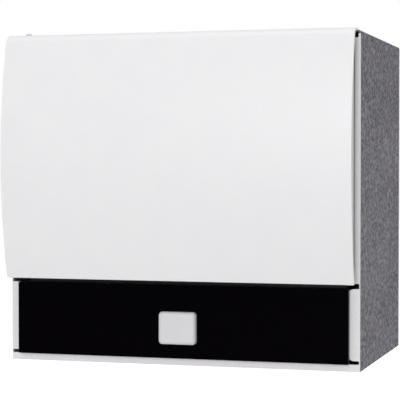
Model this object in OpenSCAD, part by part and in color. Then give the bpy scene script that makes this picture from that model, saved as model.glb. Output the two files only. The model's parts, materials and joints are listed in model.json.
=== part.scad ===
// Touchless roll-towel dispenser for a wall, loaded with one towel roll.
// X runs to the viewer's right and Z up. Y = 0 is the wall, and the cabinet stands out towards -Y.
// The origin lies on the wall, in the middle of the four wall holes.

/* [Towel roll] */
// Diameter of a full towel roll
roll_d = 190; // [160:1:220]
// Length of the towel roll
roll_w = 203; // [190:1:260]
// Inner diameter of the cardboard core
core_d = 38; // [34:1:46]
// Wall of the cardboard core
core_t = 2; // [1:0.5:4]

/* [Cabinet] */
// Room from the roll's end to the outside of the cabinet
side_room = 63.5; // [60:0.5:90]
// Room from the wall to the roll
rear_room = 17; // [14:1:40]
// Room from the roll to the front flanges
front_room = 3; // [2:1:30]
// Height of the drive bay under the roll
bay_h = 95; // [92:1:130]
// Room from the roll to the top of the cabinet
head_room = 15; // [10:1:40]
// Thickness of the cabinet's sheet steel
sheet_t = 1.5; // [0.8:0.1:2]

/* [Wall holes] */
// Distance between the wall holes, side to side
wall_dx = 200; // [160:1:240]
// Distance between the wall holes, up and down
wall_dz = 150; // [130:1:180]
// Diameter of a wall hole
wall_hole_d = 6.5; // [5:0.1:8]

/* [Front frame] */
// Thickness of the frame's sheet steel
frame_t = 1.5; // [1:0.1:2]
// Width of the flange beside the cover
strip_w = 5.5; // [3:0.5:7]
// Width of the tab beside the fascia
tab_w = 10.5; // [8:0.5:14]
// Height of that tab
tab_h = 63.5; // [55:0.5:68]
// Radius of the tab's inner corners
tab_round = 5; // [1:0.5:5]
// Slot between the tab and the cover's lower edge
tab_gap = 4.5; // [4:0.5:8]
// Height of the lip along the bottom
lip_h = 6.5; // [5:0.5:9]
// Bend relief between the lip and the tab
relief_h = 3; // [2:0.5:5]
// Bend relief at the top of each flange
notch_h = 6.5; // [3:0.5:10]
// Depth of the frame's legs behind the flanges
leg_d = 12; // [8:1:13]

/* [Cover] */
// How far the cover's two ends stand ahead of the flanges, on average
cover_edge = 16.5; // [14:0.5:22]
// Bow of the cover between its ends
cover_bulge = 14.5; // [6:0.5:30]
// How far the bow's foremost line lies below the cover's middle
bow_drop = 3; // [0:1:8]
// How far the cover's top stands over the cabinet's top
cover_rise = 1.5; // [0:0.5:3]
// Wall of the cover
cover_t = 2.5; // [2:0.1:3]
// Radius of the cover's top edge
cover_round = 10; // [6:0.5:10]
// How far the front panel lies in from the cabinet's side
cover_inset = 2; // [1:0.5:4]
// How far the cover's cheeks lie in from the cabinet's side
cheek_inset = 5.5; // [4.5:0.5:8]
// Gap between the closed cover and the flanges
cover_clear = 2; // [1:0.5:3]

/* [Cover hinge] */
// Hinge axis ahead of the flanges
hinge_fwd = 9; // [8:0.5:10]
// Hinge axis above the cover's lower edge
hinge_up = 7.5; // [6:0.5:9]
// Diameter of a hinge pin
hinge_pin_d = 4; // [3:0.5:5]
// Thickness of a hinge bracket
bracket_t = 3; // [2:0.5:4]

/* [Lock] */
// Lock axis in from the cabinet's left side
lock_in = 20; // [13:1:30]
// Diameter of the lock barrel
lock_d = 6; // [5:0.5:6.5]
// How far the barrel stands over the cover
lock_proud = 1.5; // [1:0.5:4]
// Diameter of the turning plug
plug_d = 3.6; // [3:0.2:4]
// Diameter of the keeper post
post_d = 3; // [2:0.5:3]

/* [Fascia] */
// Fascia ahead of the flanges
fascia_fwd = 7.5; // [6:0.5:9]
// Wall of the fascia
fascia_t = 3; // [2:0.5:4]
// How far the fascia laps over each tab
fascia_lap = 1.2; // [0.5:0.1:3]
// Depth of the fascia's ledges behind the flanges
ledge_d = 15; // [14:1:16]

/* [Feed pad] */
// Width of the pad
pad_w = 35; // [28:1:44]
// Height of the pad
pad_h = 29.4; // [24:0.1:36]
// Pad above the fascia's lower edge
pad_up = 13; // [6:1:16]
// How far the pad stands out of the fascia
pad_proud = 5; // [4.5:0.5:7]
// Radius of the pad's corners
pad_round = 3; // [1:0.5:5]
// Travel of the pad
pad_travel = 4; // [2:0.5:4]
// Diameter of the pad's stem
stem_d = 6; // [5:0.5:8]
// Wire of the pad's spring
pad_wire = 0.8; // [0.6:0.1:1]
// Curls of the pad's spring
pad_curls = 5; // [4:1:6]

/* [Towel drive] */
// Diameter of the rubber feed roller
feed_d = 32; // [28:1:34]
// Diameter of the pinch roller
pinch_d = 21; // [18:1:22]
// Gap at the nip of the two rollers
nip_gap = 0.5; // [0.3:0.1:1]
// Nip behind the flanges
nip_in = 66; // [64:1:72]
// Height of the rollers' axes
feed_z = 48; // [46:1:54]
// Diameter of the feed shaft
shaft_d = 8; // [6:0.5:10]
// Diameter of the pinch roller's shaft
pinch_shaft_d = 5; // [4:0.5:6]
// Tooth module of the gears
gear_module = 1.25; // [1.1:0.05:1.3]
// Face width of the gears
gear_w = 6; // [4:0.5:8]
// Teeth of the gear on the feed shaft
feed_teeth = 30; // [28:1:32]
// Teeth of the idler gear
idler_teeth = 24; // [22:1:26]
// Teeth of the motor pinion
motor_teeth = 12; // [12:1:14]
// Diameter of the gear motor
motor_d = 28; // [24:1:30]
// Length of the gear motor
motor_l = 44; // [36:1:60]
// Diameter of the motor shaft
motor_shaft_d = 4; // [3:0.5:5]

/* [Chassis] */
// Thickness of a chassis plate
plate_t = 2.5; // [2:0.5:4]
// Height of a chassis plate
plate_h = 78; // [76:1:80]
// Gap from the roll's end to a chassis plate
plate_gap = 10.5; // [9.5:0.5:14]
// Diameter of the carrier's rod
rod_d = 6; // [5:0.5:7]
// Wire of the carrier's springs
rod_wire = 0.9; // [0.6:0.1:1]
// Curls of each carrier spring
rod_curls = 4; // [3:1:4]

/* [Towel exit] */
// Width of the towel slot, front to back
slot_d = 10; // [8:0.5:14]
// Height of the chute
chute_h = 26; // [18:1:28]
// Wall of the chute
chute_t = 2; // [1.5:0.5:3]
// Thickness of the tear bar
blade_t = 1; // [0.6:0.1:1.5]
// Pitch of the tear bar's teeth
tooth_p = 4; // [3:0.5:6]

/* [Batteries] */
// Diameter of a cell
cell_d = 33.2; // [26:0.1:34]
// Length of a cell with its nub
cell_l = 61.5; // [50:0.5:62]
// Number of cells
cell_count = 4; // [2:1:4]
// Wall of the battery tray
tray_t = 2; // [1.5:0.5:3]

/* [Roll arms] */
// Thickness of a roll arm
arm_t = 3; // [2:0.5:4]
// Height of a roll arm
arm_h = 36; // [30:1:44]
// Gap from the roll's end to an arm
arm_gap = 2.5; // [2:0.5:4]
// Diameter of the right arm's pin
arm_pin_d = 5; // [4:0.5:6]
// Length of a hub's nose inside the core
nose_l = 14; // [10:1:18]
// Wire of the arm's spring
arm_wire = 1; // [0.6:0.1:1.2]
// Curls of the arm's spring
arm_curls = 6; // [4:1:8]

/* [Circuit board] */
// Width of the board
board_w = 90; // [60:1:96]
// Height of the board
board_h = 44; // [36:1:50]
// Thickness of the board
board_t = 1.6; // [1:0.2:2]
// Diameter of a sensor lamp
lamp_d = 5; // [3:0.5:6]

/* [Fits] */
// Radial clearance of pins, shafts and bushes
fit = 0.05; // [0.02:0.01:0.08]
// Clearance of loose neighbours
gap = 0.3; // [0.2:0.05:0.5]
// Diameter of a machine screw
screw_d = 3; // [2.5:0.5:4]

/* [Hidden] */
$fn = 64;

// Cabinet
case_w = roll_w + 2 * side_room;
case_d = rear_room + roll_d + front_room;
case_h = bay_h + roll_d + head_room;
half_w = case_w / 2;
inner_x = half_w - sheet_t;
flange_y = -case_d;
frame_y = flange_y + frame_t;
roll_y = -rear_room - roll_d / 2;
roll_z = bay_h + roll_d / 2;
past = 1;

// Front frame
tab_low = lip_h + relief_h;
tab_x = half_w - tab_w;
strip_top = case_h - notch_h;
relief_x = inner_x - frame_t / 3;
leg_y = frame_y + leg_d;

// Cover
cover_low = lip_h + relief_h + tab_h + tab_gap;
cover_x = half_w - cover_inset;
cheek_x = half_w - cheek_inset;
cover_back = flange_y - cover_clear;
cover_top = case_h + cover_rise;
cover_r = pow(cover_top - cover_low, 2) / (8 * cover_bulge) + cover_bulge / 2;
bow_y = flange_y - cover_edge - cover_bulge + cover_r;
bow_z = (cover_top + cover_low) / 2 - bow_drop;
cover_front = bow_y - sqrt(cover_r * cover_r - pow(cover_low - bow_z, 2));
round_z = cover_top - cover_round;
round_angle = asin((round_z - bow_z) / (cover_r - cover_round));
round_y = bow_y - (cover_r - cover_round) * cos(round_angle);
bow_steps = 24;
round_steps = 6;

// Cover hinge
hinge_y = flange_y - hinge_fwd;
hinge_z = cover_low + hinge_up;
hinge_ear_r = hinge_fwd - cover_clear;
swing_r = norm([hinge_y - cover_front, hinge_up]);
bracket_gap = 1;
bracket_x = cheek_x - cover_t - bracket_gap;
eye_wall = 2.5;
bracket_r = hinge_pin_d / 2 + eye_wall;
bracket_foot = 24;
bracket_y = leg_y + bracket_t + bracket_gap;
pin_head_d = hinge_pin_d + 2;
pin_head_t = 1.5;

// Lock
lock_x = lock_in - half_w;
lock_wall = 0.4;
lock_y = cover_back - lock_d / 2 - lock_wall;
lock_nut_d = lock_d + 2;
lock_nut_h = 3.5;
nut_drop = 0.8;
nut_top = cover_top - cover_t - nut_drop;
lock_l = 18;
lock_low = case_h - lock_l;
lock_top = cover_top + lock_proud;
jaw_h = 2.5;
jaw_t = 2.5;
jaw_gap = 0.7;
jaw_half = 35;
jaw_low = lock_low - jaw_h;
post_in = 1;
post_y = flange_y + post_d / 2 + post_in;
jaw_in = post_y + post_d / 2 - lock_y + jaw_gap;
jaw_out = jaw_in + jaw_t;
spoke_w = 2.4;
spoke_bite = 0.5;
key_w = 1.8;
key_t = 0.8;
key_l = 4;
plug_sink = 0.3;
keeper_w = 12;
keeper_t = 1.5;
keeper_front = flange_y + 0.5;
keeper_back = flange_y + 20;

// Fascia
fascia_x = tab_x + fascia_lap;
fascia_y = flange_y - fascia_fwd;
lip_gap = 0.5;
swing_gap = 0.8;
tab_seat = 0.4;
fascia_low = lip_h + lip_gap;
fascia_top = hinge_z - swing_r - swing_gap;
fascia_back = flange_y - tab_seat;
ledge_in = 3;
ledge_x = tab_x - ledge_in;
ledge_y = flange_y + ledge_d;
apron_h = 6;
foot_near = 60;
foot_far = 130;
foot_xs = [-foot_far, -foot_near, foot_near, foot_far];
foot_in = 7.5;
foot_y = flange_y + foot_in;
foot_d = screw_d + 5;
screw_short = 0.2;

// Feed pad
pad_z = fascia_low + pad_up + pad_h / 2;
pad_front = fascia_y - pad_proud;
pad_back = fascia_y + fascia_t + pad_travel;
pad_t = 2.5;
guide_t = 3;
guide_y = ledge_y - guide_t;
guide_w = 48;
clip_t = 1;
clip_d = stem_d + 4;
stem_past = 4;
stem_end = ledge_y + gap + clip_t + stem_past;
pad_coil_r = stem_d / 2 + pad_wire / 2 + gap;
coil_gap = 0.2;
switch_w = 20;
switch_h = 10;
switch_l = 6.4;
button_l = 1;
button_d = 3;
switch_y = stem_end + pad_travel + gap;
holder_t = 3;
holder_h = 22;

// Circuit board, behind the right half of the fascia
board_gap = 8;
board_up = 6;
board_post_l = 7;
board_post_d = screw_d + 3;
board_in = 5;
board_x = guide_w / 2 + board_gap;
board_y = fascia_y + fascia_t + board_post_l;
board_low = fascia_low + fascia_t + board_up;
board_post_xs = [board_x + board_in, board_x + board_w - board_in];
board_post_zs = [board_low + board_in, board_low + board_h - board_in];
board_screw_l = 6;
chip = [16, 3, 12];
relay = [10, 12, 16];
socket = [14, 7, 6];
part_in = 16;
socket_up = 2;
capacitor_d = 8;
capacitor_l = 11;
capacitor_xs = [40, 50];
relay_x = 59;
lamp_apart = 16;
lamp_up = 10;

// Towel drive
nip_y = flange_y + nip_in;
feed_y = nip_y - feed_d / 2;
pinch_y = nip_y + nip_gap + pinch_d / 2;
plate_x = roll_w / 2 + plate_gap;
gear_gap = 2.5;
gear_x = -plate_x - plate_t - gear_gap - gear_w;
feed_r = gear_module * feed_teeth / 2;
idler_r = gear_module * idler_teeth / 2;
pinion_r = gear_module * motor_teeth / 2;
idler_dir = -20;
motor_dir = -10;
idler_y = feed_y + (feed_r + idler_r) * cos(idler_dir);
idler_z = feed_z + (feed_r + idler_r) * sin(idler_dir);
motor_y = idler_y + (idler_r + pinion_r) * cos(motor_dir);
motor_z = idler_z + (idler_r + pinion_r) * sin(motor_dir);
feed_turn = idler_dir;
idler_turn = mesh_turn(idler_dir, feed_turn, feed_teeth, idler_teeth);
motor_turn = mesh_turn(motor_dir, idler_turn, idler_teeth, motor_teeth);
bush_d = shaft_d + 5;
bush_rim_d = bush_d + 4;
bush_rim = 1.5;
bush_past = 1;
stud_d = 6;
stud_rim_d = stud_d + 4;
stud_head_t = 1.5;
stud_nut_t = 2;
boss_d = motor_shaft_d + 6;
motor_box_l = 19.8;
motor_can_d = motor_d - 3;
motor_tail_d = 10;
motor_tail_l = 3;
shaft_in = 8;
shaft_past = 2;
pinion_past = 1;
knob_d = feed_d;
knob_l = 16;
knob_gap = 4;
knob_x = plate_x + plate_t + knob_gap;
groove_d = 3.2;
groove_count = 16;
roller_past = 1;
roller_half = roll_w / 2 + roller_past;

// Pinch carrier
carrier_t = 3;
carrier_gap = 1;
carrier_x = roller_half + carrier_gap;
pivot_back = 15;
pivot_up = 20;
pivot_y = pinch_y + pivot_back;
pivot_z = feed_z + pivot_up;
carrier_tube_d = rod_d + 5;
carrier_eye_d = pinch_shaft_d + 6;
carrier_arm_w = 8;
rod_coil_r = rod_d / 2 + rod_wire / 2 + gap;
rod_coil_l = plate_x - carrier_x - carrier_t - 2 * gap - rod_wire;

// Chassis
plate_lead = 6;
plate_tail = 30;
plate_front = feed_y - feed_d / 2 - plate_lead;
plate_back = motor_y + motor_d / 2 + plate_tail;
plate_foot_w = 14;
plate_foot_l = 22;
foot_ys = [plate_front + plate_foot_l / 2, plate_back - plate_foot_l / 2];

// Towel exit
slot_past = 2.5;
slot_x = roll_w / 2 + slot_past;
tooth_h = 3;
blade_low = 0.3;
blade_in = 1;
blade_top = sheet_t + chute_h * 0.7;

// Batteries
tray_y = -sheet_t - tray_t - cell_d - 2 * gap;
tray_room = 2;
tray_x = cell_count * cell_l / 2 + tray_room;
tray_wall_h = cell_d * 0.8;
cell_y = -sheet_t - tray_t - gap - cell_d / 2;
cell_z = sheet_t + tray_t + gap + cell_d / 2;
cell_gap = 0.1;
nub_l = 1.5;
nub_d = 9.3;
contact_t = 0.8;
contact_w = 18;
contact_d = 8;

// Roll arms
arm_x = roll_w / 2 + arm_gap;
arm_pin_out = 5;
arm_pin_in = 11;
arm_pin_x = arm_x + arm_t + arm_pin_out;
arm_pin_y = -sheet_t - arm_pin_in;
arm_root = 3;
knuckle_r = 6;
knuckle_h = 12;
ear_h = 5;
arm_foot_t = 2.5;
arm_foot_w = 20;
hub_rim_w = 7;
hub_rim_d = core_d + 2 * hub_rim_w;
hub_rim_t = 1.5;
hub_seat_l = 4;
nose_taper = 6;
nose_d = core_d - 2 * nose_taper;
arm_coil_r = arm_pin_d / 2 + arm_wire / 2 + gap;
arm_coil_l = arm_h - 2 * knuckle_h - 2 * gap - arm_wire;
bracket_in = 7;
bracket_out = 12;
arm_pin_low = roll_z - arm_h / 2 - gap - ear_h;
arm_pin_high = roll_z + arm_h / 2 + gap + ear_h;
arm_pin_past = 1;
arm_pin_head_d = arm_pin_d + 3;
arm_pin_head_t = 2;

// Heights below are measured up from the cabinet's floor, and this sets them around the wall holes
module on_wall() {
    translate([0, 0, -case_h / 2]) children();
}

module both_sides() {
    children();
    mirror([1, 0, 0]) children();
}

// A box from its lowest corner to its highest
module span(low, high) {
    translate(low) cube(high - low);
}

module rod_x(x0, x1, d, y, z) {
    translate([x0, y, z]) rotate([0, 90, 0]) cylinder(d = d, h = x1 - x0);
}

module rod_y(y0, y1, d, x, z) {
    translate([x, y0, z]) rotate([-90, 0, 0]) cylinder(d = d, h = y1 - y0);
}

module rod_z(z0, z1, d, x, y) {
    translate([x, y, z0]) cylinder(d = d, h = z1 - z0);
}

// An outline drawn in Y and Z, drawn out along X
module along_x(x0, x1) {
    translate([x0, 0, 0]) rotate([90, 0, 90]) linear_extrude(x1 - x0) children();
}

// An outline drawn in X and Z, drawn out along Y
module along_y(y0, y1) {
    translate([0, y1, 0]) rotate([90, 0, 0]) linear_extrude(y1 - y0) children();
}

// A pan-head screw down along -Z, with the underside of its head at the origin
module screw(length) {
    translate([0, 0, -length]) cylinder(d = screw_d - 2 * fit, h = length);
    difference() {
        cylinder(d = screw_d * 1.9, h = screw_d * 0.65);
        translate([-screw_d, -screw_d * 0.12, screw_d * 0.3]) cube([2 * screw_d, screw_d * 0.24, screw_d]);
    }
}

// Springs: a round wire on a helix about Z, 8 rings a curl and 6 sides
function coil_path(radius, length, curls) =
    [for (i = [0 : 8 * curls]) [radius * cos(45 * i), radius * sin(45 * i), length * i / (8 * curls)]];

function coil_ring(centre, turn, rise, wire) =
    let (out = [cos(turn), sin(turn), 0],
         side = [sin(rise) * sin(turn), -sin(rise) * cos(turn), cos(rise)])
    [for (k = [0 : 5]) centre + wire / 2 * (cos(60 * k) * out + sin(60 * k) * side)];

function least_gap(path, wire) =
    min([for (i = [0 : len(path) - 5]) for (j = [i + 4 : len(path) - 1]) norm(path[i] - path[j])]) - wire;

module coil(radius, length, curls, wire) {
    path = coil_path(radius, length, curls);
    rise = atan(length / (curls * 2 * PI * radius));
    last = len(path) - 1;
    points = [for (i = [0 : last]) each coil_ring(path[i], 45 * i, rise, wire)];
    sides = [for (i = [0 : last - 1]) for (k = [0 : 5])
        let (a = 6 * i + k, b = 6 * i + (k + 1) % 6) each [[a, a + 6, b], [b, a + 6, b + 6]]];
    start = [for (k = [1 : 4]) [0, k, k + 1]];
    end = [for (k = [1 : 4]) [6 * last, 6 * last + k + 1, 6 * last + k]];
    echo(str("least gap of a coil to itself, mm: ", least_gap(path, wire)));
    polyhedron(points, concat(sides, start, end));
}

// Gears: involute teeth at 20 degrees, thinned a little for backlash
function mesh_turn(dir, turn, teeth, other) = dir + 180 + 180 / other - (turn - dir) * teeth / other;

function involute(r, base) = let (t = sqrt(max(0, pow(r / base, 2) - 1))) t * 180 / PI - atan(t);

module gear_outline(teeth) {
    pitch_r = gear_module * teeth / 2;
    base_r = pitch_r * cos(20);
    tip_r = pitch_r + 0.85 * gear_module;
    root_r = pitch_r - 1.2 * gear_module;
    half = 90 / teeth * 0.9 + involute(pitch_r, base_r);
    flank = [for (i = [0 : 4]) let (r = max(base_r, root_r) + (tip_r - max(base_r, root_r)) * i / 4)
        [r, half - involute(r, base_r)]];
    tooth = concat([[root_r, -half]], [for (p = flank) [p[0], -p[1]]],
        [for (i = [4 : -1 : 0]) flank[i]], [[root_r, half]]);
    polygon([for (n = [0 : teeth - 1]) for (p = tooth)
        p[0] * [cos(p[1] + 360 * n / teeth), sin(p[1] + 360 * n / teeth)]]);
}

module gear(teeth, turn, bore, y, z) {
    translate([gear_x, y, z]) rotate([90, 0, 90]) difference() {
        rotate(turn) linear_extrude(gear_w) gear_outline(teeth);
        translate([0, 0, -past]) cylinder(d = bore, h = gear_w + 2 * past);
    }
}

// Two sides and the top, folded from one sheet
module cabinet_wrap() {
    color("#7e7c80") on_wall() difference() {
        span([-half_w, flange_y, 0], [half_w, 0, case_h]);
        span([-inner_x, flange_y - past, -past], [inner_x, past, case_h - sheet_t]);
        both_sides() span([inner_x - past, flange_y - past, -past],
            [half_w + past, frame_y, case_h - sheet_t]);
    }
}

module back_plate() {
    color("#a9abad") on_wall() difference() {
        span([-inner_x, -sheet_t, 0], [inner_x, 0, case_h - sheet_t]);
        for (sx = [-1, 1], sz = [-1, 1])
            rod_y(-sheet_t - past, past, wall_hole_d, sx * wall_dx / 2, case_h / 2 + sz * wall_dz / 2);
    }
}

module floor_pan() {
    color("#a9abad") on_wall() difference() {
        span([-inner_x, frame_y, 0], [inner_x, -sheet_t, sheet_t]);
        span([-slot_x, nip_y - slot_d / 2, -past], [slot_x, nip_y + slot_d / 2, sheet_t + past]);
        for (x = foot_xs) rod_z(-past, sheet_t + past, screw_d, x, foot_y);
        both_sides() for (y = foot_ys)
            rod_z(-past, sheet_t + past, screw_d, plate_x - plate_foot_w / 2, y);
    }
}

module tab_outline() {
    translate([tab_x + tab_round, tab_low]) square([tab_w - tab_round, tab_h]);
    translate([tab_x, tab_low + tab_round]) square([tab_w, tab_h - 2 * tab_round]);
    for (z = [tab_low + tab_round, tab_low + tab_h - tab_round])
        translate([tab_x + tab_round, z]) circle(r = tab_round);
}

// Pale flanges, tabs and lip, with legs that lie inside the cabinet's sides and on its floor
module front_frame() {
    color("#d4d4d6") on_wall() difference() {
        union() {
            both_sides() {
                along_y(flange_y, frame_y) tab_outline();
                span([half_w - strip_w, flange_y, cover_low], [half_w, frame_y, strip_top]);
                span([relief_x, flange_y, 0], [half_w, frame_y, strip_top]);
                span([inner_x - frame_t, frame_y, sheet_t], [inner_x, leg_y, strip_top]);
            }
            span([-half_w, flange_y, 0], [half_w, frame_y, lip_h]);
            span([-inner_x, frame_y, sheet_t], [inner_x, leg_y, sheet_t + frame_t]);
        }
        for (x = foot_xs) rod_z(-past, sheet_t + frame_t + past, screw_d, x, foot_y);
    }
}

// The cover's section: a long bow, a round top edge, and open at the back and below
function cover_section(inset, low, back) =
    let (r = cover_r - inset, first = asin((low - bow_z) / r))
    concat(
        [for (i = [0 : bow_steps]) let (a = first + (round_angle - first) * i / bow_steps)
            [bow_y - r * cos(a), bow_z + r * sin(a)]],
        [for (i = [1 : round_steps]) let (a = round_angle + (90 - round_angle) * i / round_steps)
            [round_y - (cover_round - inset) * cos(a), round_z + (cover_round - inset) * sin(a)]],
        [[back, cover_top - inset], [back, low]]);

module cheek_outline() {
    difference() {
        polygon(cover_section(cover_t / 2, cover_low, cover_back));
        difference() {
            translate([hinge_y, cover_low - past]) square([hinge_fwd, hinge_up + past]);
            translate([hinge_y, hinge_z]) circle(r = hinge_ear_r);
        }
    }
}

module cover() {
    color("#e9e9ea") on_wall() difference() {
        union() {
            difference() {
                along_x(-cover_x, cover_x) polygon(cover_section(0, cover_low, cover_back));
                along_x(-cover_x - past, cover_x + past)
                    polygon(cover_section(cover_t, cover_low - past, cover_back + past));
            }
            both_sides() along_x(cheek_x - cover_t, cheek_x) cheek_outline();
        }
        rod_x(-cover_x, cover_x, hinge_pin_d + 2 * fit, hinge_y, hinge_z);
        rod_z(cover_top - 2 * cover_t, cover_top + past, lock_d + 2 * fit, lock_x, lock_y);
    }
}

// A cranked steel bracket from the cabinet's side to the hinge axis
module hinge_bracket() {
    difference() {
        union() {
            rod_x(bracket_x - bracket_t, bracket_x, 2 * bracket_r, hinge_y, hinge_z);
            span([bracket_x - bracket_t, hinge_y, hinge_z - bracket_r],
                [bracket_x, bracket_y, hinge_z + bracket_r]);
            span([bracket_x - bracket_t, bracket_y - bracket_t, hinge_z - bracket_r],
                [inner_x, bracket_y, hinge_z + bracket_r]);
            span([inner_x - bracket_t, bracket_y - bracket_t, hinge_z - bracket_r],
                [inner_x, bracket_y + bracket_foot, hinge_z + bracket_r]);
        }
        rod_x(bracket_x - bracket_t - past, bracket_x + past, hinge_pin_d + 2 * fit, hinge_y, hinge_z);
    }
}

module hinge_bracket_right() {
    color("#8d9093") on_wall() hinge_bracket();
}

module hinge_bracket_left() {
    color("#8d9093") on_wall() mirror([1, 0, 0]) hinge_bracket();
}

// Shouldered pins: the head bears on the bracket's inner face
module hinge_pins() {
    color("#b9bcbf") on_wall() both_sides() {
        rod_x(bracket_x - bracket_t, cheek_x, hinge_pin_d, hinge_y, hinge_z);
        rod_x(bracket_x - bracket_t - pin_head_t, bracket_x - bracket_t, pin_head_d, hinge_y, hinge_z);
    }
}

// The small nub over the cover's top edge
module lock_barrel() {
    color("#5c5d60") on_wall() difference() {
        union() {
            rod_z(lock_low, lock_top, lock_d, lock_x, lock_y);
            rod_z(nut_top - lock_nut_h, nut_top, lock_nut_d, lock_x, lock_y);
        }
        rod_z(lock_low - past, lock_top + past, plug_d + 2 * fit, lock_x, lock_y);
    }
}

// The plug that the key turns, with a curved jaw that slides behind the keeper post
module lock_plug() {
    color("#8f9194") on_wall() translate([lock_x, lock_y, 0]) {
        difference() {
            translate([0, 0, jaw_low]) cylinder(d = plug_d, h = lock_top - plug_sink - jaw_low);
            translate([-key_w / 2, -key_t / 2, lock_top - key_l]) cube([key_w, key_t, key_l]);
        }
        translate([0, 0, jaw_low]) {
            rotate(-jaw_half) translate([0, -spoke_w / 2, 0]) cube([jaw_out - spoke_bite, spoke_w, jaw_h]);
            rotate(-jaw_half) rotate_extrude(angle = 2 * jaw_half)
                translate([jaw_in, 0]) square([jaw_out - jaw_in, jaw_h]);
        }
    }
}

// A foot under the cabinet's top, with a post down to the jaw
module lock_keeper() {
    top = case_h - sheet_t;
    color("#8d9093") on_wall() {
        span([lock_x - keeper_w / 2, keeper_front, top - keeper_t],
            [lock_x + keeper_w / 2, keeper_back, top]);
        rod_z(jaw_low - keeper_t, top - keeper_t / 2, post_d, lock_x, post_y);
    }
}

module pad_outline(grow) {
    offset_w = pad_w / 2 + grow;
    offset_h = pad_h / 2 + grow;
    r = pad_round + grow;
    translate([0, pad_z]) {
        translate([-offset_w + r, -offset_h]) square([2 * (offset_w - r), 2 * offset_h]);
        translate([-offset_w, -offset_h + r]) square([2 * offset_w, 2 * (offset_h - r)]);
        for (sx = [-1, 1], sz = [-1, 1])
            translate([sx * (offset_w - r), sz * (offset_h - r)]) circle(r = r);
    }
}

// Black window panel, with the board's posts behind it
module fascia() {
    color("#0b0a0e") on_wall() difference() {
        union() {
            span([-fascia_x, fascia_y, fascia_low], [fascia_x, fascia_y + fascia_t, fascia_top]);
            for (x = board_post_xs, z = board_post_zs)
                rod_y(fascia_y + past, board_y, board_post_d, x, z);
        }
        along_y(fascia_y - past, fascia_y + fascia_t + past) pad_outline(gap);
        for (x = board_post_xs, z = board_post_zs)
            rod_y(fascia_y + fascia_t, board_y + past, screw_d, x, z);
    }
}

// The panel's base: a ledge with two end caps, on feet that stand on the frame's floor leg
module fascia_base() {
    front = fascia_y + fascia_t;
    color("#141317") on_wall() difference() {
        union() {
            span([-fascia_x, front, fascia_low], [fascia_x, fascia_back, fascia_low + fascia_t]);
            span([-ledge_x, front, fascia_low], [ledge_x, ledge_y, fascia_low + fascia_t]);
            both_sides() span([fascia_x - fascia_t, front, fascia_low],
                [fascia_x, fascia_back, fascia_top]);
            for (x = foot_xs) rod_z(sheet_t + frame_t, fascia_low + past, foot_d, x, foot_y);
        }
        for (x = foot_xs) rod_z(0, fascia_low + fascia_t + past, screw_d, x, foot_y);
    }
}

// The panel's top rail between the end caps, with an apron up behind the cover's lower edge
module fascia_rail() {
    front = fascia_y + fascia_t;
    end_x = fascia_x - fascia_t;
    color("#141317") on_wall() {
        span([-end_x, front, fascia_top - fascia_t], [end_x, fascia_back, fascia_top]);
        span([-ledge_x, front, fascia_top - fascia_t], [ledge_x, ledge_y, fascia_top]);
        span([-ledge_x, ledge_y - fascia_t, fascia_top - fascia_t],
            [ledge_x, ledge_y, fascia_top + apron_h]);
    }
}

// A plate held between the base and the top rail: it guides the pad's stem, and two arms hold the switch
module pad_guide() {
    color("#2b2c30") on_wall() difference() {
        union() {
            span([-guide_w / 2, guide_y, fascia_low + fascia_t],
                [guide_w / 2, ledge_y, fascia_top - fascia_t]);
            both_sides() span([switch_w / 2, guide_y, pad_z - holder_h / 2],
                [switch_w / 2 + holder_t, switch_y + switch_l, pad_z + holder_h / 2]);
        }
        rod_y(guide_y - past, ledge_y + past, stem_d + 2 * fit, 0, pad_z);
    }
}

module fascia_screws() {
    color("#b9bcbf") on_wall() for (x = foot_xs)
        translate([x, foot_y, fascia_low + fascia_t]) screw(fascia_low + fascia_t - screw_short);
}

// The pale square: a hollow cap on a round stem
module feed_pad() {
    color("#d8d7da") on_wall() {
        difference() {
            along_y(pad_front, pad_back) pad_outline(0);
            along_y(pad_front + pad_t, pad_back + past) pad_outline(-pad_t);
        }
        rod_y(pad_front + past, stem_end, stem_d, 0, pad_z);
    }
}

module pad_spring() {
    spring_front = pad_front + pad_t + pad_wire / 2 + coil_gap;
    spring_l = guide_y - pad_wire / 2 - coil_gap - spring_front;
    color("#c4c6c8") on_wall() translate([0, spring_front, pad_z]) rotate([-90, 0, 0])
        coil(pad_coil_r, spring_l, pad_curls, pad_wire);
}

module pad_clip() {
    color("#b9bcbf") on_wall() difference() {
        rod_y(ledge_y + gap, ledge_y + gap + clip_t, clip_d, 0, pad_z);
        rod_y(ledge_y, ledge_y + gap + clip_t + past, stem_d + 2 * fit, 0, pad_z);
    }
}

module feed_switch() {
    color("#2b2c30") on_wall() {
        span([-switch_w / 2, switch_y + button_l, pad_z - switch_h / 2],
            [switch_w / 2, switch_y + switch_l, pad_z + switch_h / 2]);
        rod_y(switch_y, switch_y + button_l + past, button_d, 0, pad_z);
    }
}

module control_board() {
    color("#2f6b3f") on_wall() difference() {
        span([board_x, board_y, board_low], [board_x + board_w, board_y + board_t, board_low + board_h]);
        for (x = board_post_xs, z = board_post_zs)
            rod_y(board_y - past, board_y + board_t + past, screw_d, x, z);
    }
}

// A chip, two capacitors, a relay and the plug sockets, on the board's rear face
module board_parts() {
    rear = board_y + board_t;
    mid_z = board_low + board_h / 2;
    color("#26272b") on_wall() {
        translate([board_x + part_in, rear, mid_z - chip[2] / 2]) cube(chip);
        translate([board_x + part_in, rear, board_low + socket_up]) cube(socket);
        translate([board_x + relay_x, rear, mid_z - chip[2] / 2]) cube(relay);
        for (x = capacitor_xs)
            rod_y(rear, rear + capacitor_l, capacitor_d, board_x + x, mid_z - capacitor_d);
    }
}

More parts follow.
